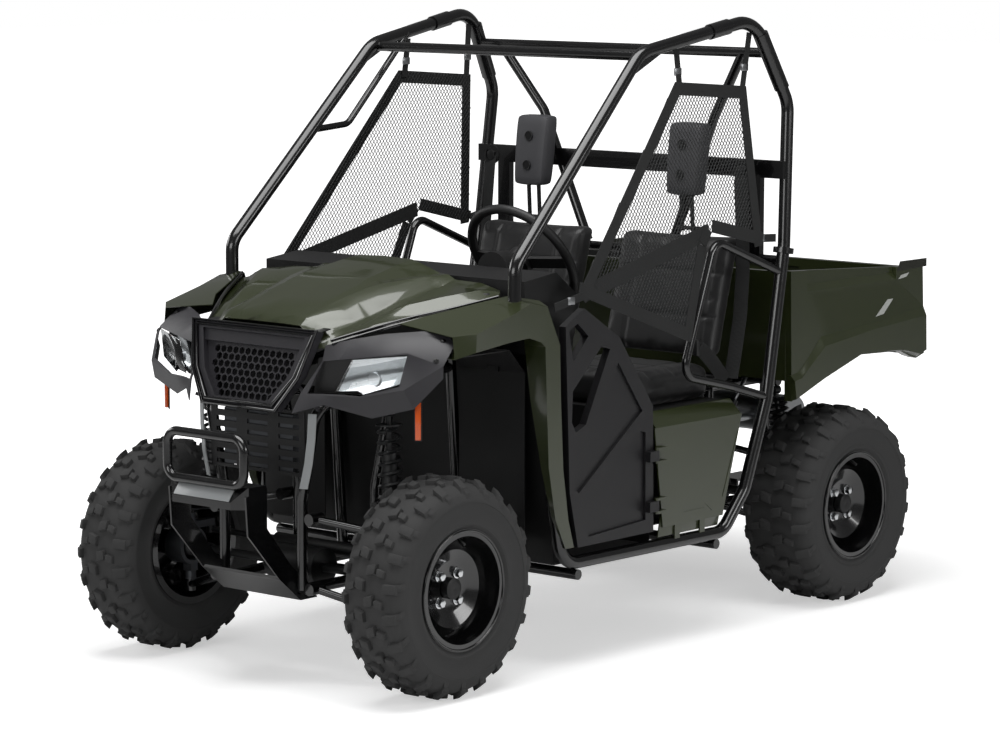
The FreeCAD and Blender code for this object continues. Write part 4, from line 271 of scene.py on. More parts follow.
# Polyester webbing and net cord, dull and slightly fuzzy.
NET_WEBBING = Finish("black_polyester_webbing", "0b0c0c", 0.80, "net_fabric", Pattern.WEAVE, 2.0, 0.3,
                     sheen=0.05)
NET_CORD = Finish("black_net_cord", "181a1a", 0.82, "net_fabric", Pattern.CAST, 1.2, 0.1, sheen=0.3)
# Moulded self-skinned foam, dark grey and evenly dull.
HEADREST_FOAM = Finish("dark_grey_skinned_foam", "3a3a3d", 0.55, "black_plastic", Pattern.GRAIN, 1.2, 0.08)
CAST_METAL = Finish("cast_aluminium", "55575a", 0.52, "cast_metal", Pattern.CAST, 2.5, 0.15, metallic=0.9)
DARK_STEEL = Finish("black_painted_steel", "0e0f10", 0.40, "forged_steel", Pattern.CAST, 2.0, 0.05)
BRIGHT_STEEL = Finish("zinc_plated_steel", "a9abad", 0.28, "muffler_steel", Pattern.BRUSHED, 0.8, 0.02,
                      metallic=1.0)
CHROME = Finish("chrome_plate", "dfe1e3", 0.08, "muffler_steel", metallic=1.0)
CLEAR_LENS = Finish("clear_polycarbonate_lens", "f4f7f8", 0.02, "lamp_glass", ior=1.585, transmission=1.0,
                    mottle=0.0)
RED_LENS = Finish("red_acrylic_lens", "8c0d0a", 0.12, "lamp_red", ior=1.49, coat=0.5)
AMBER_LENS = Finish("amber_acrylic_lens", "d9571a", 0.14, "lamp_glass", ior=1.49, coat=0.5)
# The inside of the lamp's housing, which shows as deep black; the same black is also painted shade in the
# headrests' holes and behind the grille.
BLACK_HOUSING_AND_PAINTED_SHADE = Finish("deep_black_housing_and_painted_shade", "070708", 0.35, "black_plastic")
# Vacuum-coated lamp reflector: a soft mirror.
LAMP_CHROME = Finish("lamp_reflector_coating", "c4c7c9", 0.12, "muffler_steel", metallic=1.0)
# Gloss black moulded strip: thin, very sharp highlights.
TRIM_GLOSS = Finish("gloss_black_strip", "08080a", 0.12, "black_plastic", coat=0.7, coat_roughness=0.03)
SILVER_PLASTIC = Finish("light_grey_painted_plate", "8f9293", 0.38, "dark_plastic", Pattern.ORANGE_PEEL, 3.0,
                        0.02, coat=0.3)
SILVER_VINYL = Finish("light_grey_vinyl_film", "b4b6b2", 0.35, "black_plastic")
DARK_VINYL = Finish("charcoal_vinyl_film", "25261f", 0.30, "black_plastic")
DIAL_FACE = Finish("dial_glass", "0d1013", 0.06, "lamp_glass", coat=1.0)

NODE_FINISHES: dict[str, Finish] = {node: finish for finish, nodes in (
    (POWDER_COAT, "main_frame front_frame rear_frame rops_left rops_right rops_cross hip_bars front_arms "
                  "rear_arms front_bumper"),
    (NET_WEBBING, "side_nets"),
    (CAST_METAL, "knuckle_left knuckle_right rear_hub_carriers engine radiator"),
    (DARK_STEEL, "shocks driveline steering_rack steering_gear strut_body"),
    (BRIGHT_STEEL, "muffler pedals strut_rod"),
    (BLACK_PLASTIC, "steering_wheel radiator_guard wheel_arch_liners floor_tub dashboard headrests"),
    (OLIVE_GLOSS, "bonnet front_wings side_panels load_bed tailgate"),
    (DARK_PLASTIC, "grille front_fascias"),
    (DOOR_PLASTIC, "door_left door_right"),
    (CLEAR_LENS, "headlamps"),
    (RED_LENS, "tail_lamps"),
    (SEAT_VINYL, "seat_cushions seat_backs"),
    (TYRE_RUBBER, "front_tyre_left front_tyre_right rear_tyre_left rear_tyre_right"),
    (RIM_ENAMEL, "front_rim_left front_rim_right rear_rim_left rear_rim_right"),
) for node in nodes.split()}


def between(low: float, high: float, share: float) -> float:
    """Gives the value at a share of the way from low to high."""
    return low + (high - low) * share


def metres(points: Iterable[Point]) -> list[Vector]:
    """Turns places in millimetres into vectors in metres."""
    return [Vector(point) * MM for point in points]


def flipped(points: Iterable[Point], side: int = -1) -> list[Point]:
    """Gives places on the left side as they are, or on the right side for a side of -1."""
    return [(side * x, y, z) for x, y, z in points]


def shifted(points: Iterable[Point], x_shift: float) -> list[Point]:
    """Moves places across the vehicle."""
    return [(x_shift + x, y, z) for x, y, z in points]


def looped(items: Sequence) -> Iterable[tuple]:
    """Gives each item with the next one, and the last with the first."""
    return zip(items, [*items[1:], items[0]])


def join(shape: Shape, part: Shape, places: Iterable[Matrix] = (Matrix.Identity(4),)) -> None:
    """Adds copies of a part to a shape and frees the part.

    Args:
        shape: The bmesh that grows.
        part: The bmesh that is copied.
        places: One matrix for each copy.
    """
    mesh = bpy.data.meshes.new("part")
    part.to_mesh(mesh)
    part.free()
    for place in places:
        copy = mesh.copy()
        copy.transform(place)
        if place.determinant() < 0:
            copy.flip_normals()
        shape.from_mesh(copy)
        bpy.data.meshes.remove(copy)
    bpy.data.meshes.remove(mesh)


def soften(part: Shape, edges: Iterable[bmesh.types.BMEdge], round_mm: float) -> None:
    """Rounds edges, where the radius isn't zero."""
    if round_mm:
        bmesh.ops.bevel(part, geom=list(edges), offset=round_mm * MM, segments=2, profile=0.5, affect="EDGES",
                        material=-1)


def turned_to(axis: Point) -> Matrix:
    """Gives the matrix that turns +Z to an axis."""
    return Z_AXIS.rotation_difference(Vector(axis)).to_matrix().to_4x4()


def add_box(shape: Shape, low: Point, high: Point, round_mm: float,
            place: Matrix = Matrix.Identity(4)) -> None:
    """Adds a box with rounded edges.

    Args:
        shape: The bmesh that grows.
        low: The lowest corner.
        high: The highest corner.
        round_mm: The radius of its edges.
        place: A further transform, where the box is turned.
    """
    part = bmesh.new()
    bmesh.ops.create_cube(part, size=1.0)
    start, end = metres((low, high))
    bmesh.ops.scale(part, vec=end - start, verts=part.verts)
    bmesh.ops.translate(part, vec=(start + end) / 2, verts=part.verts)
    soften(part, part.edges, round_mm)
    join(shape, part, [place])


def add_rod(shape: Shape, start: Point, end: Point, radius: float, sides: int, round_mm: float = 0.0) -> None:
    """Adds a round bar or prism between two places.

    Args:
        shape: The bmesh that grows.
        start: The middle of its first end.
        end: The middle of its other end.
        radius: Its radius.
        sides: The number of sides, over four.
        round_mm: The radius of its rims.
    """
    first, last = metres((start, end))
    part = bmesh.new()
    bmesh.ops.create_cone(part, cap_ends=True, segments=sides, radius1=radius * MM, radius2=radius * MM,
                          depth=(last - first).length)
    rims = [edge for edge in part.edges if any(len(face.verts) > 4 for face in edge.link_faces)]
    soften(part, rims, round_mm)
    join(shape, part, [Matrix.Translation((first + last) / 2) @ turned_to(last - first)])


def add_ring(shape: Shape, profile: Sequence[Pair], centre: Point, axis: Point, steps: int) -> None:
    """Spins a closed profile about an axis.

    Args:
        shape: The bmesh that grows.
        profile: Places along the axis and out from it.
        centre: The ring's centre.
        axis: The direction of the axis.
        steps: The number of steps in the full turn.
    """
    part = bmesh.new()
    verts = [part.verts.new(Vector((0, radius, along)) * MM) for along, radius in profile]
    edges = [part.edges.new(ends) for ends in looped(verts)]
    bmesh.ops.spin(part, geom=verts + edges, cent=(0, 0, 0), axis=Z_AXIS, angle=math.tau, steps=steps,
                   use_merge=True)
    join(shape, part, [Matrix.Translation(Vector(centre) * MM) @ turned_to(axis)])


def add_tube(shape: Shape, points: Sequence[Point], radius: float, sides: int, closed: bool) -> None:
    """Adds a round tube along a path with corners that is closed, or along a smooth open curve.

    Args:
        shape: The bmesh that grows.
        points: The path.
        radius: The tube's radius.
        sides: The number of sides of the tube's section.
        closed: Whether the path comes back to its start.
    """
    curve = bpy.data.curves.new("path", "CURVE")
    curve.dimensions = "3D"
    curve.bevel_depth = radius * MM
    curve.bevel_resolution = sides // 2 - 2
    curve.use_fill_caps = not closed
    spline = curve.splines.new("POLY" if closed else "NURBS")
    spline.points.add(len(points) - 1)
    for target, point in zip(spline.points, metres(points)):
        target.co = (*point, 1.0)
    if not closed:
        spline.order_u = 3
        spline.use_endpoint_u = True
        curve.resolution_u = 8
    spline.use_cyclic_u = closed
    carrier = bpy.data.objects.new("path", curve)
    mesh = bpy.data.meshes.new_from_object(carrier)
    shape.from_mesh(mesh)
    bpy.data.objects.remove(carrier)
    bpy.data.curves.remove(curve)
    bpy.data.meshes.remove(mesh)


def add_band(shape: Shape, points: Sequence[Point], across: Point, width: float, thickness: float) -> None:
    """Adds a flat band along a path, such as webbing.

    Args:
        shape: The bmesh that grows.
        points: The middle of the band.
        across: The direction of its width.
        width: Its width.
        thickness: Its thickness.
    """
    part = bmesh.new()
    reach = Vector(across).normalized() * width * MM / 2
    path = metres(points)
    edge = part.edges.new([part.verts.new(path[0] - reach), part.verts.new(path[0] + reach)])
    for last, point in zip(path, path[1:]):
        grown = bmesh.ops.extrude_edge_only(part, edges=[edge])["geom"]
        verts = {item for item in grown if isinstance(item, bmesh.types.BMVert)}
        edge = next(item for item in grown
                    if isinstance(item, bmesh.types.BMEdge) and set(item.verts) == verts)
        bmesh.ops.translate(part, vec=point - last, verts=list(verts))
    bmesh.ops.solidify(part, geom=list(part.faces), thickness=thickness * MM)
    join(shape, part)


def add_plate(shape: Shape, corners: Sequence[Point], thickness: float, lift: Point,
              round_mm: float = 0.0) -> None:
    """Adds a flat plate with the given outline.

    Args:
        shape: The bmesh that grows.
        corners: The outline.
        thickness: The plate's thickness.
        lift: The direction in which it gets its thickness.
        round_mm: The radius of its edges.
    """
    part = bmesh.new()
    face = part.faces.new([part.verts.new(point) for point in metres(corners)])
    grown = bmesh.ops.extrude_face_region(part, geom=[face])["geom"]
    verts = [item for item in grown if isinstance(item, bmesh.types.BMVert)]
    bmesh.ops.translate(part, vec=Vector(lift).normalized() * thickness * MM, verts=verts)
    bmesh.ops.holes_fill(part, edges=[edge for edge in part.edges if edge.is_boundary])
    bmesh.ops.recalc_face_normals(part, faces=part.faces)
    soften(part, part.edges, round_mm)
    join(shape, part)


def add_screw(shape: Shape, place: Point, normal: Point, radius: float) -> None:
    """Adds a button screw head with its washer and socket.

    Args:
        shape: The bmesh that grows.
        place: The middle of its seat.
        normal: The direction in which it stands out.
        radius: The head's radius.
    """
    up, seat = Vector(normal).normalized(), Vector(place)
    add_rod(shape, seat, seat + up * radius * 0.22, radius * 1.35, 24, radius * 0.05)
    head = [(0.2, 0.3), (radius * 0.35, 0.3), (radius * 0.35, radius * 0.36), (radius * 0.75, radius * 0.40),
            (radius * 0.62, radius * 0.80), (radius * 0.30, radius), (0.2, radius)]
    add_ring(shape, head, seat, up, 24)


def mirrored(shape: Shape) -> None:
    """Adds the mirror image across the vehicle's middle."""
    join(shape, shape.copy(), [Matrix.Scale(-1, 4, X_AXIS)])


def new_object(name: str, shape: Shape) -> Piece:
    """Turns a shape into an object in the scene and frees the shape.

    Args:
        name: The object's name.
        shape: Its bmesh.

    Returns:
        The object.
    """
    mesh = bpy.data.meshes.new(name)
    shape.to_mesh(mesh)
    shape.free()
    made = bpy.data.objects.new(name, mesh)
    bpy.context.scene.collection.objects.link(made)
    return made


def add_finer(piece: Piece) -> None:
    """Subdivides a padded piece once."""
    finer = piece.modifiers.new("finer", "SUBSURF")
    finer.levels = finer.render_levels = 1


def make_piece(name: str, shape: Shape, finish: Finish, body: str = "root", replaced: str = "",
               turn_out: bool = True) -> Piece:
    """Turns a shape into a finished piece that rides on a body.

    Args:
        name: The piece's name.
        shape: Its bmesh, which is freed.
        finish: Its finish.
        body: The body that it rides on.
        replaced: The node that it stands for.
        turn_out: Whether its faces are turned outwards again.

    Returns:
        The piece.
    """
    if turn_out:
        bmesh.ops.recalc_face_normals(shape, faces=shape.faces)
    piece = new_object(name, shape)
    for face in piece.data.polygons:
        face.use_smooth = True
    piece.data.set_sharp_from_angle(angle=SMOOTH_ANGLE)
    piece.data.materials.append(finish.build())
    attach(piece, body)
    if replaced:
        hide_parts(replaced)
    LOG.info("piece %s on %s: %d faces", name, body, len(piece.data.polygons))
    return piece


@dataclass(frozen=True)
class Block:
    """One kind of tread block.

    Its way is 1 where it lies on the same side of the tyre as its row and -1 where it lies on the other. Its
    ends are shares of half the tyre's width, and its foot and tips are counted down from the tyre's radius.
    """

    way: int
    end_shares: Pair
    length: float
    skew: float
    foot: float
    tips: Pair
    crown_share: float = 0.90
    foot_share: float = 1.08
    free_height: float = 4.0
    round_mm: float = 1.8


@dataclass
class Wheel:
    """One tyre with its tread, and the trim on its rim."""

    end: str
    label: str
    side: int
    reach: float
    axle_y: float
    width: float
    rim_width: float
    radius: float = 305.0
    places: int = 44
    steps: int = 88
    # The bead and rib, out from the rim's edge, and the belly and shoulder, in from the widest place.
    bead: tuple[Pair, ...] = ((-1.0, 154.0), (2.0, 168.0), (6.0, 176.0), (10.5, 181.0), (11.5, 187.0),
                              (10.0, 191.0))
    flank_share: float = 0.72
    flank: Pair = (3.0, 206.0)
    belly: tuple[Pair, ...] = ((5.0, 226.0), (1.5, 240.0), (1.5, 241.5), (0.0, 242.5), (0.0, 246.0),
                               (1.0, 250.0), (4.0, 262.0), (14.0, 276.0), (28.0, 284.5), (44.0, 289.5))
    crown_share: float = 0.3
    crown_radius: float = 292.0
    # The centre chevrons, the small inner blocks, the shoulder lugs and the blocks below them.
    blocks: tuple[Block, ...] = (
        Block(1, (0.03, 0.30), 29.0, 8.0, 22.0, (0.0, 0.0)),
        Block(1, (0.35, 0.58), 20.0, -6.0, 22.0, (1.5, 4.5)),
        Block(-1, (0.63, 0.92), 29.0, 0.0, 42.0, (0.0, 22.0)),
        Block(-1, (0.86, 0.985), 19.0, 10.0, 56.0, (18.0, 37.0)))
    hub_face_x: float = 552.0
    nuts: int = 4
    nut_circle: float = 52.0
    # The washer and the nut: start, end, radius, number of sides and rounding.
    nut_parts: tuple[tuple[float, float, float, int, float], ...] = (
        (0.5, 4.0, 16.0, 24, 0.8), (4.0, 17.5, 12.0, 6, 1.2))
    lip_radius: float = 164.0
    lip_out: float = 6.4
    lip_round: float = 3.4
    cap: tuple[Pair, ...] = ((22.0, 0.6), (25.0, 0.6), (27.5, 14.0), (27.0, 24.0), (24.0, 29.5), (2.0, 29.5),
                             (2.0, 27.2), (22.0, 27.2))
    # The tyre valve's ends, out from the rim's edge and up from the axle.
    valve: tuple[Pair, Pair] = ((-24.0, 144.0), (8.0, 126.0))
    valve_radius: float = 4.0

    @property
    def centre(self) -> Point:
        """Gives the wheel's centre."""
        return (self.side * self.reach, self.axle_y, AXLE_Z)

    @property
    def body(self) -> str:
        """Names the body that the wheel turns with."""
        return f"wheel_{self.end}_{self.label}"

    def carcass(self, shape: Shape) -> None:
        """Spins the tyre's body with its bead, protector rib, belly and rounded crown.

        Args:
            shape: The bmesh that grows.
        """
        half, foot = self.width / 2, self.rim_width / 2
        outer = [(foot + out, radius) for out, radius in self.bead]
        outer.append((between(foot, half, self.flank_share) - self.flank[0], self.flank[1]))
        outer += [(half - inset, radius) for inset, radius in self.belly]
        outer.append((half * self.crown_share, self.crown_radius))
        add_ring(shape, outer + [(-x, r) for x, r in reversed(outer)], self.centre, X_AXIS, self.steps)

    def block(self, kind: Block, way: int) -> Shape:
        """Makes one tread block at the top of the tyre.

        Args:
            kind: The kind of block.
            way: The side of the tyre that its row is on.

        Returns:
            The block, about the tyre's own centre.
        """
        ends = [way * kind.way * share * self.width / 2 for share in kind.end_shares]
        foot = self.radius - kind.foot
        part = bmesh.new()
        bmesh.ops.create_cube(part, size=1.0)
        for vert in part.verts:
            right, crown = vert.co.x > 0, vert.co.z > 0
            far = right == (ends[1] > ends[0])
            y = vert.co.y * kind.length * (kind.crown_share if crown else kind.foot_share)
            vert.co = Vector((max(ends) if right else min(ends), y + (kind.skew if far else 0.0),
                              self.radius - kind.tips[far] if crown else foot)) * MM
        free = (foot + kind.free_height) * MM
        edges = [edge for edge in part.edges if sum(vert.co.z for vert in edge.verts) / 2 > free]
        soften(part, edges, kind.round_mm)
        return part

    def tread(self, shape: Shape) -> None:
        """Sets the tread blocks round the tyre, in two rows that are one place apart.

        Args:
            shape: The bmesh that grows.
        """
        middle = Matrix.Translation(Vector(self.centre) * MM)
        for way in (1, -1):
            turns = [middle @ Matrix.Rotation(math.tau * i / self.places, 4, "X")
                     for i in range(int(way > 0), self.places, 2)]
            for kind in self.blocks:
                join(shape, self.block(kind, way), turns)

    def trim(self) -> None:
        """Adds the wheel nuts, the edge on the rim, the hub's cap and the tyre valve."""
        side, name = self.side, f"{self.end}_{self.label}"
        face, edge = side * self.hub_face_x, self.rim_width / 2
        shape = bmesh.new()
        for index in range(self.nuts):
            angle = math.radians(90 * index + 45)
            y = self.axle_y + self.nut_circle * math.cos(angle)
            z = AXLE_Z + self.nut_circle * math.sin(angle)
            for start, end, radius, sides, round_mm in self.nut_parts:
                add_rod(shape, (face + side * start, y, z), (face + side * end, y, z), radius, sides, round_mm)
        make_piece(f"{name}_wheel_nuts", shape, CHROME, self.body)
        shape = bmesh.new()
        angles = [math.tau * index / 12 for index in range(12)]
        section = [(self.lip_round * math.cos(a), self.lip_radius + self.lip_round * math.sin(a))
                   for a in angles]
        x, y, z = self.centre
        add_ring(shape, section, (x + side * (edge + self.lip_out), y, z), X_AXIS, 96)
        make_piece(f"{name}_rim_lip", shape, RIM_ENAMEL, self.body)
        shape = bmesh.new()
        add_ring(shape, self.cap, (face, y, z), (side, 0, 0), 40)
        make_piece(f"{name}_hub_cap", shape, BLACK_PLASTIC, self.body)
        shape = bmesh.new()
        start, end = ((x + side * (edge + out), y, z + up) for out, up in self.valve)
        add_rod(shape, start, end, self.valve_radius, 12, 0.8)
        make_piece(f"{name}_tyre_valve", shape, BLACK_PLASTIC, self.body)

    def build(self) -> None:
        """Builds the tyre and its trim."""
        tyre = bmesh.new()
        self.carcass(tyre)
        self.tread(tyre)
        make_piece(f"{self.end}_{self.label}_treaded_tyre", tyre, TYRE_RUBBER, self.body,
                   f"{self.end}_tyre_{self.label}")
        self.trim()


@dataclass
class SideNet:
    """A woven side net with webbing borders, a slanting strap, hanging straps and buckles."""

    side: int
    label: str
    low_x: float = 604.0
    top_x: float = 537.0
    ys: Pair = (-428.0, 450.0)
    zs: Pair = (886.0, 1644.0)
    outline_shares: tuple[Pair, ...] = (
        (0.0, 0.24), (0.569, 1.0), (0.957, 0.968), (1.0, 0.342), (0.721, 0.414), (0.683, 0.359), (0.567, 0.005))
    strap_shares: tuple[Pair, Pair] = ((0.03, 0.24), (0.71, 0.42))
    border: float = 38.0
    strap_width: float = 46.0
    webbing: float = 2.6
    lap_gap: float = 0.25
    strap_lift: float = 1.2
    cell: float = 12.0
    cell_stretch: Point = (0.86, 1.12, 1.0)
    strand: float = 3.3
    sag: float = 3.0
    # Each hanging strap: its corner of the outline, and its ends with Y and Z counted from that corner.
    hangers: tuple[tuple[int, Point, Point], ...] = (
        (1, (535.0, 24.0, -22.0), (520.0, 24.0, 97.0)), (2, (539.0, -20.0, -18.0), (548.0, 2.0, 158.256)),
        (0, (588.0, 20.0, -4.0), (583.0, -102.0, -27.92)), (3, (560.0, -8.0, 20.0), (592.0, 50.0, 20.0)))
    hanger_width: float = 24.0
    hanger_web: float = 2.4
    buckle_half: Point = (3.2, 15.0, 11.0)
    buckle_share: float = 0.42
    buckle_round: float = 1.6

    def places(self, shares: Sequence[Pair]) -> list[Pair]:
        """Turns shares of the net's box into places along and up the net."""
        return [(between(*self.ys, a), between(*self.zs, b)) for a, b in shares]

    def inside(self, place: Vector) -> bool:
        """Says whether a place in metres lies within the outline.

        Args:
            place: The place.

        Returns:
            True inside the outline.
        """
        y, z = place.y / MM, place.z / MM
        found = False
        for (ay, az), (by, bz) in looped(self.places(self.outline_shares)):
            if (az > z) != (bz > z) and y < ay + (z - az) / (bz - az) * (by - ay):
                found = not found
        return found

    def lean(self, shape: Shape) -> None:
        """Leans a flat shape over to the net's plane on its side of the vehicle, with a slight sag.

        Args:
            shape: The bmesh, drawn round an X of zero.
        """
        for vert in shape.verts:
            share = (vert.co.z / MM - self.zs[0]) / (self.zs[1] - self.zs[0])
            sag = self.sag * (1.0 - abs(2 * min(max(share, 0.0), 1.0) - 1.0) ** 2)
            vert.co.x = self.side * (vert.co.x + (between(self.low_x, self.top_x, share) - sag) * MM)

    def flat_size(self) -> Pair:
        """Gives the width and length of the net's cut in metres."""
        rise = math.hypot(self.low_x - self.top_x, self.zs[1] - self.zs[0])
        return (self.ys[1] - self.ys[0]) * MM, rise * MM

    def flat_area(self) -> float:
        """Gives the flat area of the net's cut in square metres."""
        twice = sum(a[0] * b[1] - b[0] * a[1] for a, b in looped(self.places(self.outline_shares)))
        return abs(twice) / 2 * MM * MM * self.flat_size()[1] / ((self.zs[1] - self.zs[0]) * MM)

    def weave(self, shape: Shape) -> None:
        """Weaves the open net in the plane where X is zero.

        Args:
            shape: An empty bmesh, which grows.
        """
        reach = (self.ys[1] - self.ys[0] + self.zs[1] - self.zs[0]) / 2
        count = int(2 * reach / self.cell)
        bmesh.ops.create_grid(shape, x_segments=count, y_segments=count, size=reach * MM)
        for degrees, axis in ((45, "Z"), (90, "X"), (90, "Z")):
            bmesh.ops.rotate(shape, cent=(0, 0, 0), matrix=Matrix.Rotation(math.radians(degrees), 3, axis),
                             verts=shape.verts)
            if degrees == 45:
                bmesh.ops.scale(shape, vec=self.cell_stretch, verts=shape.verts)
        bmesh.ops.translate(shape, vec=Vector((0, sum(self.ys) / 2, sum(self.zs) / 2)) * MM, verts=shape.verts)
        lost = [face for face in shape.faces if not all(self.inside(vert.co) for vert in face.verts)]
        bmesh.ops.delete(shape, geom=lost, context="FACES")
        bmesh.ops.wireframe(shape, faces=list(shape.faces), thickness=self.strand * MM, use_replace=True,
                            use_boundary=True, use_even_offset=False, offset=0.0)
        for face in shape.faces:
            face.material_index = 1

    def bands(self, shape: Shape) -> None:
        """Sews the webbing borders and the slanting strap.

        Args:
            shape: The bmesh that grows.
        """
        corners = [Vector((0, y, z)) for y, z in self.places(self.outline_shares)]
        middle = sum(corners, Vector((0, 0, 0))) / len(corners)
        for index, (start, end) in enumerate(looped(corners)):
            across = X_AXIS.cross((end - start).normalized())
            if across.dot(middle - start) < 0:
                across = -across
            shift = across * self.border / 2 + X_AXIS * self.lap_gap * (index % 2)
            add_band(shape, (start + shift, end + shift), across, self.border, self.webbing)
        start, end = (Vector((self.strap_lift, y, z)) for y, z in self.places(self.strap_shares))
        add_band(shape, (start, end), X_AXIS.cross((end - start).normalized()), self.strap_width, self.webbing)

    def fittings(self) -> None:
        """Hangs the net from the roof rail and the cowl with straps and bright links."""
        straps, links = bmesh.new(), bmesh.new()
        for index, *ends in self.hangers:
            corner = Vector((0, *self.places(self.outline_shares)[index]))
            first, last = (corner + Vector(end) for end in ends)
            across = (last - first).normalized().cross(X_AXIS)
            add_band(straps, (first, first.lerp(last, 0.5), last), across, self.hanger_width, self.hanger_web)
            middle, half = first.lerp(last, self.buckle_share), Vector(self.buckle_half)
            add_box(links, middle - half, middle + half, self.buckle_round)
        for shape in (straps, links):
            bmesh.ops.scale(shape, vec=(self.side, 1, 1), verts=shape.verts)
        make_piece(f"side_net_{self.label}_straps", straps, NET_WEBBING, replaced="side_nets")
        make_piece(f"side_net_{self.label}_buckles", links, BRIGHT_STEEL)

    def build(self) -> None:
        """Builds the whole net."""
        shape = bmesh.new()
        self.weave(shape)
        self.bands(shape)
        self.lean(shape)
        net = make_piece(f"side_net_{self.label}_woven", shape, NET_WEBBING, replaced="side_nets")
        net.data.materials.append(NET_CORD.build())
        self.fittings()
        self.flat_area()


@dataclass
class Cushion:
    """One padded seat piece, blown up by cloth pressure and then sewn.

    Each seam has its axis and its place. The seams are pressed into the face that the seam_face axis names.
    """

    name: str
    low: Point
    high: Point
    seams: tuple[tuple[int, float], ...]
    seam_face: int
    replaced: str
    lean: float = 0.0
    lean_over: float = 382.0
    round_mm: float = 20.0
    voxel: float = 7.0
    frames: int = 16
    pressure: float = 4.0
    most_move: float = 9.0
    seam_depth: float = 4.5
    seam_width: float = 5.0

    def block(self) -> Piece:
        """Makes the plain block that the padding starts from, in even cells.

        Returns:
            The unfinished piece.
        """
        shape = bmesh.new()
        add_box(shape, self.low, self.high, self.round_mm)
        piece = new_object(self.name, shape)
        remesh = piece.modifiers.new("remesh", "REMESH")
        remesh.mode = "VOXEL"
        remesh.voxel_size = self.voxel * MM
        self.apply(piece)
        return piece

    def apply(self, piece: Piece) -> None:
        """Replaces a piece's mesh by what its modifiers make of it.

        Args:
            piece: The piece.
        """
        graph = bpy.context.evaluated_depsgraph_get()
        mesh = bpy.data.meshes.new_from_object(piece.evaluated_get(graph))
        piece.modifiers.clear()
        piece.data = mesh

    def swell(self, piece: Piece) -> None:
        """Blows the padding up with cloth pressure and caps how far a point may move.

        Args:
            piece: The block, whose mesh is replaced.
        """
        start = [vert.co.copy() for vert in piece.data.vertices]
        cloth = piece.modifiers.new("padding", "CLOTH")
        cloth.settings.use_pressure = True
        cloth.settings.uniform_pressure_force = self.pressure
        cloth.settings.effector_weights.gravity = 0.0
        cloth.settings.quality = 4
        cloth.collision_settings.use_collision = False
        cloth.point_cache.frame_start = 1
        cloth.point_cache.frame_end = self.frames + 1
        for frame in range(1, self.frames + 1):
            bpy.context.scene.frame_set(frame)
        self.apply(piece)
        for vert, old in zip(piece.data.vertices, start):
            move = vert.co - old
            if move.length > self.most_move * MM:
                vert.co = old + move.normalized() * self.most_move * MM
        bpy.context.scene.frame_set(1)

    def sew(self, piece: Piece) -> None:
        """Presses the sewn channels in, smooths the padding and leans it back.

        Args:
            piece: The padding.
        """
        shape = bmesh.new()
        shape.from_mesh(piece.data)
        bmesh.ops.smooth_vert(shape, verts=shape.verts, factor=0.5, use_axis_x=True, use_axis_y=True,
                              use_axis_z=True)
        shape.normal_update()
        facing = -1 if self.seam_face == 1 else 1
        for vert in shape.verts:
            if vert.normal[self.seam_face] * facing < 0.5:
                continue
            for axis, place in self.seams:
                off = (vert.co[axis] / MM - place) / self.seam_width
                vert.co[self.seam_face] -= facing * self.seam_depth * MM * math.exp(-off * off)
        for vert in shape.verts:
            vert.co.y += self.lean * MM * (vert.co.z - self.low[2] * MM) / (self.lean_over * MM)
        shape.to_mesh(piece.data)
        shape.free()

    def build(self) -> None:
        """Builds the padding."""
        piece = self.block()
        self.swell(piece)
        self.sew(piece)
        for face in piece.data.polygons:
            face.use_smooth = True
        piece.data.materials.clear()
        piece.data.materials.append(SEAT_VINYL.build())
        add_finer(piece)
        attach(piece, "root")
        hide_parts(self.replaced)
        LOG.info("padding %s: %d faces", self.name, len(piece.data.polygons))


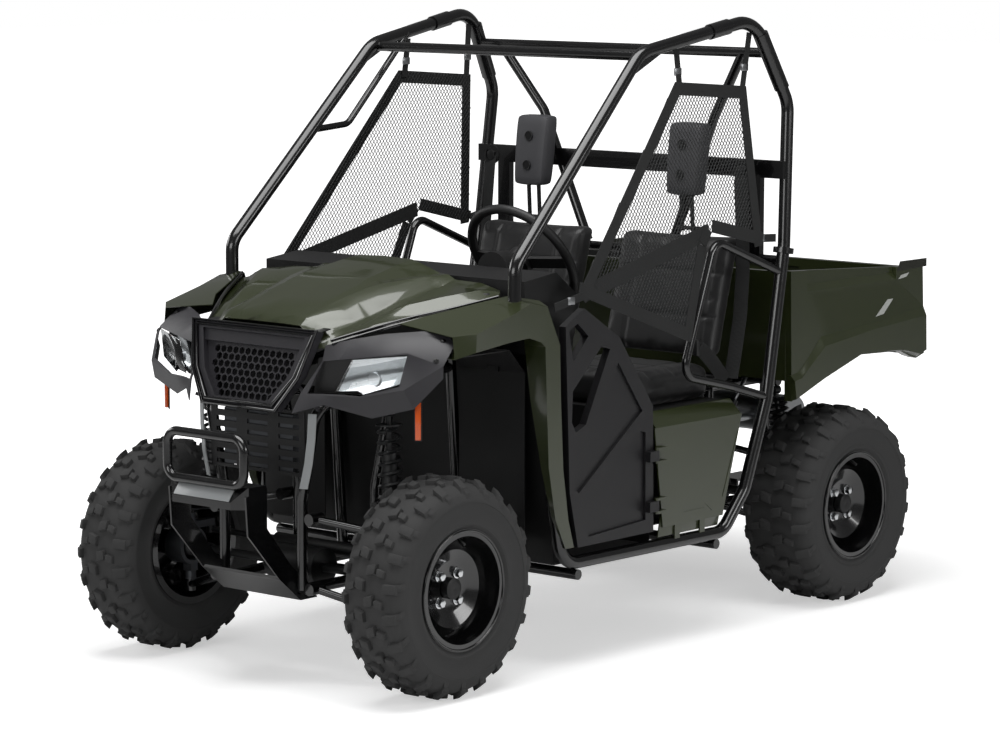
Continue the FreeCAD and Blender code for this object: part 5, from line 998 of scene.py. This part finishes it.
@dataclass
class Seats:
    """Both seats: cushions, backs, headrests and their belts. Places are the left side's."""

    xs: Pair = (69.0, 493.0)
    channel_shares: Pair = (0.22, 0.78)
    cushion_yz: tuple[Pair, Pair] = ((-32.0, 697.0), (322.0, 787.0))
    cushion_seams: Pair = (40.0, 160.0)
    back_yz: tuple[Pair, Pair] = ((308.0, 804.0), (378.0, 1168.0))
    back_seams: Pair = (930.0, 1060.0)
    back_lean: float = 105.0
    pad: tuple[Point, Point] = ((239.0, 403.0, 1280.0), (363.0, 467.0, 1501.0))
    pad_round: float = 17.0
    pad_middle: Point = (301.0, 435.0, 1390.0)
    pad_zs: Pair = (1277.0, 1504.0)
    pad_lean: float = 25.0
    pad_widening: float = 0.10
    pad_crowns: Pair = (5.0, -2.0)
    hole_y: float = 396.0
    hole_shares: Pair = (0.3, 0.7)
    hole_radius: float = 13.0
    hole_depths: Pair = (6.0, -0.4)
    hole_ring: tuple[Pair, ...] = ((-2.0, 12.5), (1.0, 12.5), (1.6, 14.0), (1.0, 15.5), (-2.0, 15.5))
    post_xs: Pair = (281.0, 321.0)
    post_ends: tuple[Pair, Pair] = ((447.0, 1172.0), (440.0, 1290.0))
    post_radius: float = 6.5
    # Boxes: the posts' foot, the belt's tongue, and the latch with its button.
    post_foot: tuple[Point, Point] = ((-34.0, 430.0, 1176.5), (34.0, 464.0, 1186.0))
    tongue: tuple[Point, Point] = ((-10.0, 222.0, 828.0), (4.0, 240.0, 876.0))
    latch: tuple[Point, Point] = ((-13.0, 262.0, 800.0), (13.0, 292.0, 868.0))
    button: tuple[Point, Point] = ((-8.0, 266.0, 866.0), (8.0, 288.0, 871.0))
    fall: tuple[Point, ...] = (
        (493.0, 462.0, 1366.0), (494.0, 455.0, 1330.0), (503.0, 452.0, 1200.0), (512.0, 444.0, 1060.0),
        (519.0, 424.0, 930.0), (523.0, 396.0, 830.0), (526.0, 372.0, 748.0))
    lap: tuple[Point, ...] = (
        (521.0, 350.0, 742.0), (514.0, 300.0, 800.0), (505.0, 262.0, 838.0), (508.0, 236.0, 850.0))
    fall_width: float = 46.0
    lap_width: float = 44.0
    web: float = 1.6
    guide: Point = (493.0, 463.0, 1366.0)
    guide_ring: tuple[Pair, ...] = ((-4.0, 22.0), (4.0, 22.0), (4.0, 30.0), (-4.0, 30.0))
    tongue_x: float = 508.0
    guide_depths: Pair = (2.0, -7.0)
    guide_radius: float = 17.0
    latch_x: float = 44.0
    stalk: tuple[Point, Point] = ((0.0, 277.0, 700.0), (0.0, 277.0, 804.0))
    stalk_width: float = 26.0

    def cushions(self, side: int, label: str) -> None:
        """Builds one seat's cushion and back.

        Args:
            side: 1 on the left and -1 on the right.
            label: The side's name.
        """
        low_x, high_x = sorted(side * x for x in self.xs)
        channels = tuple((0, between(low_x, high_x, share)) for share in self.channel_shares)
        low, high = self.cushion_yz
        seams = channels + tuple((1, y) for y in self.cushion_seams)
        Cushion(f"seat_cushion_{label}_pad", (low_x, *low), (high_x, *high), seams, 2, "seat_cushions").build()
        low, high = self.back_yz
        seams = channels + tuple((2, z) for z in self.back_seams)
        Cushion(f"seat_back_{label}_pad", (low_x, *low), (high_x, *high), seams, 1, "seat_backs",
                self.back_lean).build()

    def headrest(self, side: int, label: str) -> None:
        """Builds one moulded headrest with its posts, and in each round hole a black rim and disc that are
        painted shade.

        Args:
            side: 1 on the left and -1 on the right.
            label: The side's name.
        """
        pad = bmesh.new()
        add_box(pad, *self.pad, self.pad_round)
        middle = metres([self.pad_middle])[0]
        bmesh.ops.bisect_plane(pad, geom=[*pad.verts, *pad.edges, *pad.faces],
                               plane_co=Vector((0, 0, middle.z)), plane_no=Z_AXIS)
        low_z, high_z = self.pad_zs
        for vert in pad.verts:
            share = (vert.co.z / MM - low_z) / (high_z - low_z)
            crown = self.pad_crowns[int(vert.co.y >= middle.y)] * (1.0 - (2 * share - 1.0) ** 2)
            vert.co.x += (vert.co.x - middle.x) * self.pad_widening * (share - 0.5)
            vert.co.y += (self.pad_lean * share - crown) * MM
        bmesh.ops.scale(pad, vec=(side, 1, 1), verts=pad.verts)
        piece = make_piece(f"headrest_{label}_pad", pad, HEADREST_FOAM, replaced="headrests")
        add_finer(piece)
        x = side * self.pad_middle[0]
        # The pad is not cut through: each hole is a black rim and a black disc, painted shade.
        hole_shade = bmesh.new()
        for share in self.hole_shares:
            y, z = self.hole_y + self.pad_lean * share, between(low_z, high_z, share)
            add_ring(hole_shade, self.hole_ring, (x, y, z), -Y_AXIS, 32)
            start, end = ((x, y + depth, z) for depth in self.hole_depths)
            add_rod(hole_shade, start, end, self.hole_radius, 28)
        make_piece(f"headrest_{label}_holes", hole_shade, BLACK_HOUSING_AND_PAINTED_SHADE)
        posts = bmesh.new()
        for post_x in self.post_xs:
            add_rod(posts, *((side * post_x, *end) for end in self.post_ends), self.post_radius, 16)
        add_box(posts, *shifted(self.post_foot, x), 3.0)
        make_piece(f"headrest_{label}_posts", posts, DARK_STEEL)

    def belt(self, side: int, label: str) -> None:
        """Hangs one seat belt from the belt bar's guide down beside the seat.

        Args:
            side: 1 on the left and -1 on the right.
            label: The side's name.
        """
        web, metal = bmesh.new(), bmesh.new()
        add_band(web, flipped(self.fall, side), (1, 0.16 * side, 0), self.fall_width, self.web)
        add_band(web, flipped(self.lap, side), (0.30 * side, 0.5, 0.8), self.lap_width, self.web)
        x, y, z = side * self.guide[0], *self.guide[1:]
        add_ring(metal, self.guide_ring, (x, y, z), Y_AXIS, 36)
        start, end = ((x, y + depth, z) for depth in self.guide_depths)
        add_rod(metal, start, end, self.guide_radius, 6, 1.5)
        add_box(metal, *shifted(self.tongue, side * self.tongue_x), 2.4)
        make_piece(f"seat_belt_{label}_webbing", web, NET_WEBBING)
        make_piece(f"seat_belt_{label}_guide", metal, BLACK_PLASTIC)
        x = side * self.latch_x
        latch, button = bmesh.new(), bmesh.new()
        add_box(latch, *shifted(self.latch, x), 5.0)
        add_band(latch, shifted(self.stalk, x), Y_AXIS, self.stalk_width, 5.0)
        make_piece(f"seat_belt_{label}_latch", latch, BLACK_PLASTIC)
        add_box(button, *shifted(self.button, x), 1.5)
        make_piece(f"seat_belt_{label}_button", button, RED_LENS)

    def build(self) -> None:
        """Builds both seats."""
        for make in (self.cushions, self.headrest, self.belt):
            for side, label in SIDES:
                make(side, label)


@dataclass
class BonnetSkin:
    """The bonnet with the crisp facets that run up beside its raised middle.

    Each crease has one place across the vehicle and one lift for each station along it.
    """

    stations: tuple[float, ...] = (-1128.0, -1095.0, -960.0, -840.0, -640.0, -560.0)
    creases: tuple[tuple[float, ...], ...] = (
        (118.0, 118.0, 122.0, 128.0, 108.0, 100.0),
        (121.0, 121.0, 125.0, 132.0, 196.0, 214.0),
        (150.0, 147.0, 145.0, 162.0, 226.0, 246.0),
        (228.0, 228.0, 240.0, 250.0, 262.0, 270.0),
        (232.0, 233.0, 250.0, 322.0, 440.0, 480.0),
        (262.0, 264.0, 296.0, 366.0, 486.0, 524.0))
    lifts: tuple[tuple[float, ...], ...] = (
        (0.0, 4.0, 4.0, 4.0, 6.0, 5.0),
        (0.0, 4.0, 4.0, 4.0, -17.0, -17.0),
        (0.0, 4.0, 2.0, -1.0, -12.0, -14.0),
        (0.0, -12.0, -25.0, -29.0, -27.0, -20.0),
        (0.0, -12.0, -23.0, -1.0, 4.0, 2.0),
        (0.0, 0.0, -6.0, -13.0, -11.0, -4.0))
    on_plane: float = 0.02
    on_crease: float = 0.4

    def along(self, row: Sequence[float], y: float) -> float:
        """Gives a crease's value at a place along the vehicle.

        Args:
            row: The crease's values at the stations.
            y: The place.

        Returns:
            The value between the stations.
        """
        place = min(max(y, self.stations[0]), self.stations[-1])
        index = next(i for i, station in enumerate(self.stations[1:]) if place <= station)
        near, far = self.stations[index:index + 2]
        return between(row[index], row[index + 1], (place - near) / (far - near))

    def lift(self, x: float, y: float) -> float:
        """Gives how far the skin is lifted at a place.

        Args:
            x: The place across the vehicle.
            y: The place along it.

        Returns:
            The lift.
        """
        places = [self.along(row, y) for row in self.creases]
        lifts = [self.along(row, y) for row in self.lifts]
        off = abs(x)
        if off <= places[0]:
            return lifts[0]
        for low, high, first, last in zip(places, places[1:], lifts, lifts[1:]):
            if off <= high:
                return between(first, last, (off - low) / (high - low))
        return lifts[-1]

    def cut(self, shape: Shape) -> None:
        """Cuts the skin along the creases and stations, so that it can fold there.

        Args:
            shape: The skin.
        """
        planes = [((0.0, y), (1.0, y)) for y in self.stations[1:]]
        for row in self.creases:
            spots = list(zip(row, self.stations))
            for near, far in zip(spots, spots[1:]):
                planes += [(near, far), ((-near[0], near[1]), (-far[0], far[1]))]
        for (ax, ay), (bx, by) in planes:
            bmesh.ops.bisect_plane(shape, geom=[*shape.verts, *shape.edges, *shape.faces],
                                   dist=self.on_plane * MM, plane_co=Vector((ax, ay, 0.0)) * MM,
                                   plane_no=Vector((by - ay, ax - bx, 0.0)).normalized())

    def build(self, node: Piece) -> None:
        """Builds the faceted bonnet.

        Args:
            node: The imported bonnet.
        """
        source = node.data.copy()
        source.transform(node.matrix_world)
        shape = bmesh.new()
        shape.from_mesh(source)
        bpy.data.meshes.remove(source)
        bmesh.ops.remove_doubles(shape, verts=shape.verts, dist=WELD_DISTANCE)
        self.cut(shape)
        bmesh.ops.remove_doubles(shape, verts=shape.verts, dist=WELD_DISTANCE)
        for vert in shape.verts:
            vert.co.z += self.lift(vert.co.x / MM, vert.co.y / MM) * MM
        piece = make_piece("bonnet_skin", shape, OLIVE_GLOSS, replaced="bonnet", turn_out=False)
        spots = [(abs(vert.co.x) / MM, vert.co.y / MM) for vert in piece.data.vertices]
        marks = [{index for index, row in enumerate(self.creases)
                  if abs(x - self.along(row, y)) < self.on_crease} for x, y in spots]
        for edge in piece.data.edges:
            first, last = edge.vertices
            if marks[first] & marks[last]:
                edge.use_edge_sharp = True


@dataclass(frozen=True)
class LampPlate:
    """One flat part inside a lamp.

    It has the housing's outline or the lens's, scaled by a factor. It is set back from the lens's face along
    the vehicle and then sunk square to that face.
    """

    on_housing: bool
    factor: float
    back: float
    sunk: float
    thickness: float


@dataclass
class Headlamp:
    """One headlamp: black housing, shroud, bright reflector, bulb and clear lens.

    Outlines are shares across and up the fascia's box. The lens's face runs straight between its first and
    third corner, whose places along the vehicle are the face shares.
    """

    side: int
    label: str
    xs: Pair = (196.0, 552.0)
    ys: Pair = (-899.0, -1182.0)
    zs: Pair = (765.0, 1002.0)
    face_shares: Pair = (0.731, 0.424)
    lens_shares: tuple[Pair, ...] = (
        (0.256, 0.308), (0.382, 0.679), (0.789, 0.747), (0.730, 0.422), (0.463, 0.287), (0.424, 0.325))
    housing_shares: tuple[Pair, ...] = (
        (0.090, 0.283), (0.120, 0.633), (0.789, 0.764), (0.770, 0.409), (0.466, 0.274), (0.292, 0.283))
    housing: tuple[LampPlate, LampPlate] = (LampPlate(True, 1.16, 26.0, 22.0, 2.0),
                                            LampPlate(True, 0.985, 3.0, 34.0, 1.5))
    shroud: LampPlate = LampPlate(False, 1.05, 1.0, 27.0, 2.0)
    bowl: LampPlate = LampPlate(False, 0.94, 3.5, 22.0, 1.5)
    lens_thickness: float = 2.4
    lens_round: float = 0.7
    bulb_back: float = 16.0
    bulb: tuple[Pair, ...] = ((0.0, 0.4), (14.0, 0.4), (14.0, 9.0), (9.0, 15.0), (0.0, 16.0))

    def outline(self, shares: Sequence[Pair], back: float) -> list[Point]:
        """Places an outline in the lamp's slanting plane.

        Args:
            shares: The outline.
            back: How far it lies behind the lens's face.

        Returns:
            The outline on the left side.
        """
        near_x, far_x = (between(*self.xs, self.lens_shares[corner][0]) for corner in (0, 2))
        near_y, far_y = (between(*self.ys, share) for share in self.face_shares)
        slope = (far_y - near_y) / (far_x - near_x)
        spots = [(between(*self.xs, a), between(*self.zs, b)) for a, b in shares]
        return [(x, near_y + slope * (x - near_x) + back, z) for x, z in spots]

    def plate(self, kind: LampPlate) -> Shape:
        """Makes one of the lamp's plates.

        Args:
            kind: The plate's sizes.

        Returns:
            The plate on its side of the vehicle.
        """
        rim = self.outline(self.housing_shares if kind.on_housing else self.lens_shares, kind.back)
        middle = [sum(values) / len(rim) for values in zip(*rim)]
        rim = [[between(m, v, kind.factor) for m, v in zip(middle, point)] for point in rim]
        part = bmesh.new()
        face = part.faces.new([part.verts.new(point) for point in metres(rim)])
        face.normal_update()
        if face.normal.y > 0:
            bmesh.ops.reverse_faces(part, faces=[face])
            face.normal_update()
        bmesh.ops.translate(part, vec=-face.normal * kind.sunk * MM, verts=part.verts)
        bmesh.ops.solidify(part, geom=[face], thickness=-kind.thickness * MM)
        shape = bmesh.new()
        join(shape, part, [Matrix.Scale(self.side, 4, X_AXIS)])
        return shape

    def build(self) -> None:
        """Builds the lamp on its side of the vehicle."""
        name = f"headlamp_{self.label}"
        housing = self.plate(self.housing[0])
        join(housing, self.plate(self.housing[1]))
        make_piece(f"{name}_housing", housing, BLACK_HOUSING_AND_PAINTED_SHADE, replaced="headlamps")
        make_piece(f"{name}_shroud", self.plate(self.shroud), BLACK_HOUSING_AND_PAINTED_SHADE)
        make_piece(f"{name}_bowl", self.plate(self.bowl), LAMP_CHROME)
        lens = bmesh.new()
        add_plate(lens, flipped(self.outline(self.lens_shares, 0.0), self.side), self.lens_thickness, Y_AXIS,
                  self.lens_round)
        make_piece(f"{name}_lens", lens, CLEAR_LENS)
        bulb = bmesh.new()
        seat = flipped(self.outline(self.lens_shares, self.bulb_back), self.side)
        centre = [sum(values) / len(seat) for values in zip(*seat)]
        add_ring(bulb, self.bulb, centre, (-0.5 * self.side, 1, 0), 24)
        make_piece(f"{name}_bulb", bulb, BRIGHT_STEEL)


@dataclass
class FrontTrim:
    """The gloss lines round the grille and bonnet, reflectors, fasteners and the bumper's plate."""

    grille_half: Point = (236.0, 201.0, 140.0)
    grille_y: Point = (-1121.0, -1158.7, -1186.0)
    grille_z: Point = (1000.0, 872.0, 780.0)
    grille_gaps: Pair = (0.0, 13.0)
    grille_line: float = 5.5
    line_lift: float = 4.0
    bonnet_edge: tuple[Point, ...] = (
        (242.0, -1074.0, 966.0), (348.0, -911.0, 1018.0), (429.0, -794.0, 1042.0), (495.0, -666.0, 1072.0))
    bonnet_gaps: Pair = (0.0, 11.0)
    bonnet_line: float = 4.5
    # The inset, setback and drop of the painted shade plate from the grille's outline.
    shade_plate_shift: Point = (14.0, 42.0, 6.0)
    sheet: float = 3.0
    sill: tuple[Point, Point] = ((222.0, -1112.0, 990.0), (222.0, -1052.0, 1000.0))
    upright: tuple[Point, ...] = (
        (214.0, -1119.0, 770.0), (211.0, -1121.0, 700.0), (202.0, -1123.0, 630.0), (184.0, -1124.0, 560.0))
    upright_width: float = 24.0
    # The seat, direction and radius of the fascia's bolts and the bonnet's quarter-turn fastener.
    screws: tuple[tuple[Point, Point, float], ...] = (
        ((513.3, -918.7, 977.2), (0.3, -0.33, 0.9), 6.5), ((534.6, -971.6, 929.4), (0.64, -0.49, 0.59), 6.5),
        ((438.0, -655.0, 1072.0), (0.25, -0.1, 0.96), 15.0))
    reflector: Point = (486.0, -990.0, 762.0)
    reflector_degrees: float = 38.0
    # The reflector and its bracket: name, finish, corners and rounding.
    reflector_boxes: tuple[tuple[str, Finish, Point, Point, float], ...] = (
        ("side_reflectors", AMBER_LENS, (-8.0, -5.0, -52.0), (8.0, 5.0, 52.0), 2.5),
        ("side_reflector_brackets", BLACK_PLASTIC, (-11.0, 5.2, -56.0), (11.0, 9.0, 56.0), 1.5))
    plate_half: float = 106.0
    plate_corner: float = 14.0
    plate_corner_share: float = 0.3
    plate_thickness: float = 4.0
    plate_lift: Point = (0.0, -0.83, 0.55)
    plate_round: float = 1.2
    plate_y: Pair = (-1299.0, -1335.0)
    plate_z: Pair = (588.4, 541.6)

    def symmetric(self, points: Sequence[Point]) -> list[Point]:
        """Closes half an outline with its mirror image."""
        return [*points, *flipped(reversed(points))]

    def lines(self) -> None:
        """Runs the gloss black lines round the grille and up the bonnet's edges."""
        shape = bmesh.new()
        corners = list(zip(self.grille_half, self.grille_y, self.grille_z))
        for gap in self.grille_gaps:
            path = [(half - gap, y - self.line_lift, z - shift)
                    for (half, y, z), shift in zip(corners, (gap, 0.0, -gap))]
            add_tube(shape, self.symmetric(path), self.grille_line, 12, True)
        for gap in self.bonnet_gaps:
            edge = [(x + gap * 0.5, y, z + self.line_lift - gap * 0.8) for x, y, z in self.bonnet_edge]
            for path in (edge, flipped(edge)):
                add_tube(shape, path, self.bonnet_line, 10, False)
        make_piece("front_gloss_lines", shape, TRIM_GLOSS)

    def painted_shade_plates(self) -> None:
        """Sets a black plate behind the grille, and its sill: painted shade in the grille's opening."""
        shape = bmesh.new()
        inset, back, drop = self.shade_plate_shift
        corners = [(half - inset, y + back, z - drop)
                   for half, y, z in zip(self.grille_half, self.grille_y, self.grille_z)]
        add_plate(shape, self.symmetric(corners), self.sheet, (0, 1, 0.3))
        add_plate(shape, self.symmetric(self.sill), self.sheet, (0, 0, -1))
        make_piece("grille_painted_shade", shape, BLACK_HOUSING_AND_PAINTED_SHADE)

    def uprights(self) -> None:
        """Sets the light metal strips on the front frame's uprights."""
        shape = bmesh.new()
        add_band(shape, self.upright, (1.0, 0.45, 0.0), self.upright_width, self.sheet)
        mirrored(shape)
        make_piece("front_uprights", shape, SILVER_PLASTIC)

    def fasteners(self) -> None:
        """Sets the fascia's bolts and the bonnet's quarter-turn fasteners."""
        shape = bmesh.new()
        for screw in self.screws:
            add_screw(shape, *screw)
        mirrored(shape)
        make_piece("front_fasteners", shape, BLACK_PLASTIC)

    def reflectors(self) -> None:
        """Hangs the amber side reflectors on their small brackets."""
        turn = Matrix.Rotation(math.radians(self.reflector_degrees), 4, "Z")
        place = Matrix.Translation(Vector(self.reflector) * MM) @ turn
        for name, finish, low, high, round_mm in self.reflector_boxes:
            shape = bmesh.new()
            add_box(shape, low, high, round_mm, place)
            mirrored(shape)
            make_piece(name, shape, finish)

    def bumper_plate(self) -> None:
        """Lays the light grey bevelled plate on the bumper."""
        shape = bmesh.new()
        half, (near_y, far_y), (near_z, far_z) = self.plate_half, self.plate_y, self.plate_z
        share = self.plate_corner_share
        outline = [(half, far_y, far_z), (half, between(near_y, far_y, share), between(near_z, far_z, share)),
                   (half - self.plate_corner, near_y, near_z)]
        add_plate(shape, self.symmetric(outline), self.plate_thickness, self.plate_lift, self.plate_round)
        make_piece("bumper_plate", shape, SILVER_PLASTIC)

    def build(self) -> None:
        """Builds the trim of the front."""
        for make in (self.lines, self.painted_shade_plates, self.uprights, self.fasteners, self.reflectors,
                     self.bumper_plate):
            make()


@dataclass
class BedTrim:
    """The stripes on the load bed and the handle on its tailgate."""

    face_x: float = 575.0
    stripes: tuple[tuple[Pair, ...], ...] = (
        ((1125.0, 927.0), (1155.0, 927.0), (1104.0, 883.0), (1060.0, 878.0)),
        ((1198.0, 998.0), (1242.0, 1003.0), (1228.0, 991.0), (1183.0, 986.0)))
    dark_block: tuple[Pair, ...] = ((1174.0, 1011.0), (1340.0, 1016.0), (1340.0, 1042.0), (1190.0, 1042.0))
    handle: Point = (0.0, 1330.0, 905.0)
    handle_degrees: float = 9.5
    handle_boxes: tuple[tuple[Point, Point, float], ...] = (
        ((-92.0, -12.0, -32.0), (92.0, -2.0, 32.0), 4.0), ((-70.0, -2.0, -6.0), (70.0, 12.0, 16.0), 5.0))

    def decals(self, name: str, finish: Finish, outlines: Sequence[Sequence[Pair]], thickness: float) -> None:
        """Sticks vinyl on both sides of the bed.

        Args:
            name: The piece's name.
            finish: The vinyl.
            outlines: The outlines along and up the bed's side.
            thickness: The vinyl's thickness.
        """
        shape = bmesh.new()
        for outline in outlines:
            add_plate(shape, [(self.face_x, y, z) for y, z in outline], thickness, X_AXIS)
        mirrored(shape)
        make_piece(name, shape, finish, "bed")

    def build(self) -> None:
        """Builds the slanting stripes, the dark blocks and the tailgate's pull handle."""
        self.decals("bed_stripes", SILVER_VINYL, self.stripes, 0.5)
        self.decals("bed_dark_blocks", DARK_VINYL, [self.dark_block], 0.4)
        shape = bmesh.new()
        tilt = Matrix.Rotation(math.radians(self.handle_degrees), 4, "X")
        for low, high, round_mm in self.handle_boxes:
            add_box(shape, low, high, round_mm, Matrix.Translation(Vector(self.handle) * MM) @ tilt)
        make_piece("tailgate_handle", shape, BLACK_PLASTIC, "tailgate")


@dataclass
class Dash:
    """The dial in its pod."""

    pod: Point = (250.0, -345.0, 1108.0)
    radius: float = 58.0
    bezel: tuple[Pair, ...] = ((0.3, 10.0), (7.0, 10.0), (9.0, 6.0), (7.0, 1.0), (0.3, 1.0))
    face_inset: float = 10.5
    face_ys: Pair = (0.4, 2.2)
    marks: int = 9
    mark_insets: Pair = (20.0, 14.0)
    mark_y: float = 2.9
    mark_radius: float = 1.1
    first_degrees: float = 215.0
    step_degrees: float = 31.25
    needle: tuple[Point, Point] = ((0.0, 3.6, 0.0), (26.0, 3.6, -18.0))
    needle_radius: float = 1.4

    def build(self) -> None:
        """Builds the dial's bezel, its face, its marks and its needle."""
        x, y, z = self.pod
        shape = bmesh.new()
        add_ring(shape, [(along, self.radius - inset) for along, inset in self.bezel], self.pod, Y_AXIS, 48)
        make_piece("dial_bezel", shape, BLACK_PLASTIC)
        shape = bmesh.new()
        start, end = ((x, y + depth, z) for depth in self.face_ys)
        add_rod(shape, start, end, self.radius - self.face_inset, 48)
        make_piece("dial_face", shape, DIAL_FACE)
        shape = bmesh.new()
        for index in range(self.marks):
            angle = math.radians(self.first_degrees - index * self.step_degrees)
            start, end = ((x - reach * math.cos(angle), y + self.mark_y, z + reach * math.sin(angle))
                          for reach in (self.radius - inset for inset in self.mark_insets))
            add_rod(shape, start, end, self.mark_radius, 8)
        add_rod(shape, *((x + a, y + b, z + c) for a, b, c in self.needle), self.needle_radius, 8)
        make_piece("dial_marks", shape, SILVER_VINYL)


@dataclass
class SideTrim:
    """The skirts that close the side panels down to the rocker tubes, and the dark posts behind the hinges."""

    skirt: tuple[Pair, ...] = ((-50.0, 402.0), (-66.0, 331.0), (222.0, 331.0), (244.0, 402.0))
    skirt_x: float = 590.0
    post: tuple[Point, Point] = ((562.0, -125.0, 362.0), (566.0, -15.0, 660.0))
    thickness: float = 4.0

    def build(self) -> None:
        """Builds the skirts and posts."""
        skirts, posts = bmesh.new(), bmesh.new()
        add_plate(skirts, [(self.skirt_x, y, z) for y, z in self.skirt], self.thickness, X_AXIS, 0.8)
        mirrored(skirts)
        make_piece("side_skirts", skirts, OLIVE_GLOSS)
        add_box(posts, *self.post, 1.0)
        mirrored(posts)
        make_piece("hinge_posts", posts, BLACK_PLASTIC)


def dress_frame(nodes: dict[str, Piece]) -> None:
    """Gives each carried-over node its finish and smooth shading over its welded mesh.

    Args:
        nodes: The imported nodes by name.
    """
    for name, piece in nodes.items():
        finish = NODE_FINISHES[name]
        piece.data.materials.clear()
        piece.data.materials.append(finish.build())
        for face in piece.data.polygons:
            face.use_smooth = True
        piece.modifiers.new("weld", "WELD").merge_threshold = WELD_DISTANCE
        piece.modifiers.new("edges", "EDGE_SPLIT").split_angle = SMOOTH_ANGLE
        LOG.info("node %s: %s", name, finish.name)


def line_bed(piece: Piece) -> None:
    """Gives the inside of the load bed its dark moulded lining.

    Args:
        piece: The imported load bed.
    """
    piece.data.materials.append(BED_LINER.build())
    for face in piece.data.polygons:
        x, y, z = (value / MM for value in piece.matrix_world @ face.center)
        if abs(x) < BED_INNER_HALF and y > BED_INNER_FRONT and z > BED_FLOOR:
            face.material_index = 1


@dataclass
class Studio:
    """White floor, soft lamps and the camera at the photograph's viewing angle, with its places in metres."""

    azimuth: float = 40.3496
    elevation: float = 7.50512
    roll: float = 0.1359
    place: Point = (6.84859, -8.13680, 2.14964)
    lens_mm: float = 128.372
    clip_end: float = 200.0
    floor_half: float = 40.0
    floor_drop: float = 0.0005
    # The floor's glow and the distances from the middle between which it grows.
    glow: Pair = (0.50, 1.2)
    glow_from: Pair = (1.6, 4.0)
    floor_grey: float = 0.80
    world_light: float = 0.14
    aim: Point = (0.0, 0.0, 0.8)
    lamps: tuple[tuple[str, Point, Pair, float], ...] = (
        ("overhead", (0.5, -1.0, 5.0), (4.6, 3.6), 250.0), ("front", (1.0, -6.0, 2.6), (4.0, 1.6), 75.0),
        ("side", (6.0, 1.0, 2.6), (4.0, 1.2), 85.0), ("far_side", (-5.0, -1.5, 2.6), (4.0, 1.4), 55.0))

    def set_camera(self) -> None:
        """Places the camera."""
        azimuth, elevation, roll = (math.radians(v) for v in (self.azimuth, self.elevation, self.roll))
        back = Vector((math.sin(azimuth) * math.cos(elevation), -math.cos(azimuth) * math.cos(elevation),
                       math.sin(elevation)))
        right = (-back).cross(Z_AXIS).normalized()
        up = back.cross(right)
        across = right * math.cos(roll) + up * math.sin(roll)
        above = up * math.cos(roll) - right * math.sin(roll)
        camera = bpy.data.objects.new("camera", bpy.data.cameras.new("camera"))
        bpy.context.scene.collection.objects.link(camera)
        turn = Matrix((across, above, back)).transposed().to_4x4()
        camera.matrix_world = Matrix.Translation(self.place) @ turn
        camera.data.lens = self.lens_mm
        camera.data.clip_end = self.clip_end
        bpy.context.scene.camera = camera

    def set_floor(self) -> None:
        """Lays the floor, which shows white and keeps the shadow."""
        shape = bmesh.new()
        bmesh.ops.create_grid(shape, x_segments=1, y_segments=1, size=self.floor_half)
        floor = new_object("floor", shape)
        floor.location.z = -self.floor_drop
        material = bpy.data.materials.new("white_studio_floor")
        tree = cleared(material)
        grey = self.floor_grey
        matt = add_node(tree, "BsdfDiffuse", {"Color": (grey, grey, grey, 1)}).outputs["BSDF"]
        place = add_node(tree, "TexCoord").outputs["Object"]
        reach = add_node(tree, "VectorMath", {"operation": "LENGTH"}, i0=place).outputs["Value"]
        far = add_node(tree, "MapRange", {"From Min": self.glow_from[0], "From Max": self.glow_from[1],
                                          "To Min": self.glow[0], "To Max": self.glow[1]}, Value=reach)
        glow = add_node(tree, "Emission", {"Color": (1, 1, 1, 1)}, Strength=far.outputs["Result"])
        both = add_node(tree, "AddShader", i0=matt, i1=glow.outputs["Emission"]).outputs["Shader"]
        seen = add_node(tree, "LightPath").outputs["Is Camera Ray"]
        choice = add_node(tree, "MixShader", i0=seen, i1=matt, i2=both)
        add_node(tree, "OutputMaterial", Surface=choice.outputs["Shader"])
        floor.data.materials.append(material)

    def set_world(self) -> None:
        """Fills the world: white for the camera and plain grey light on the object."""
        world = bpy.data.worlds.new("studio")
        bpy.context.scene.world = world
        tree = cleared(world)
        path = add_node(tree, "LightPath").outputs
        seen = add_node(tree, "Math", {"operation": "MAXIMUM"}, i0=path["Is Camera Ray"],
                        i1=path["Is Transmission Ray"]).outputs["Value"]
        light, white = (add_node(tree, "Background", {"Color": (1, 1, 1, 1), "Strength": strength})
                        for strength in (self.world_light, 1.0))
        choice = add_node(tree, "MixShader", i0=seen, i1=light.outputs["Background"],
                          i2=white.outputs["Background"])
        add_node(tree, "OutputWorld", Surface=choice.outputs["Shader"])

    def set_lamps(self) -> None:
        """Hangs large soft lamps over and beside the object."""
        for name, place, size, power in self.lamps:
            data = bpy.data.lights.new(name, "AREA")
            data.shape = "RECTANGLE"
            data.size, data.size_y = size
            data.energy = power
            lamp = bpy.data.objects.new(name, data)
            lamp.location = place
            lamp.rotation_euler = (Vector(place) - Vector(self.aim)).to_track_quat("Z", "Y").to_euler()
            bpy.context.scene.collection.objects.link(lamp)

    def build(self) -> None:
        """Sets the whole studio."""
        bpy.context.scene.view_settings.view_transform = "Standard"
        self.set_camera()
        self.set_floor()
        self.set_world()
        self.set_lamps()


def main() -> None:
    """Loads the frame, dresses it and sets the studio."""
    logging.basicConfig(level=logging.INFO, format="%(message)s")
    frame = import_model()
    dress_frame(frame["nodes"])
    line_bed(frame["nodes"]["load_bed"])
    for end, axle_y, reach, width, rim_width in (("front", FRONT_AXLE_Y, 517.0, 210.0, 178.0),
                                                 ("rear", REAR_AXLE_Y, 505.0, 254.0, 203.0)):
        for side, label in SIDES:
            Wheel(end, label, side, reach, axle_y, width, rim_width).build()
    BonnetSkin().build(frame["nodes"]["bonnet"])
    for side, label in SIDES:
        SideNet(side, label).build()
        Headlamp(side, label).build()
    for part in (Seats(), FrontTrim(), BedTrim(), Dash(), SideTrim(), Studio()):
        part.build()
    bpy.context.view_layer.update()


if __name__ == "__main__":
    main()
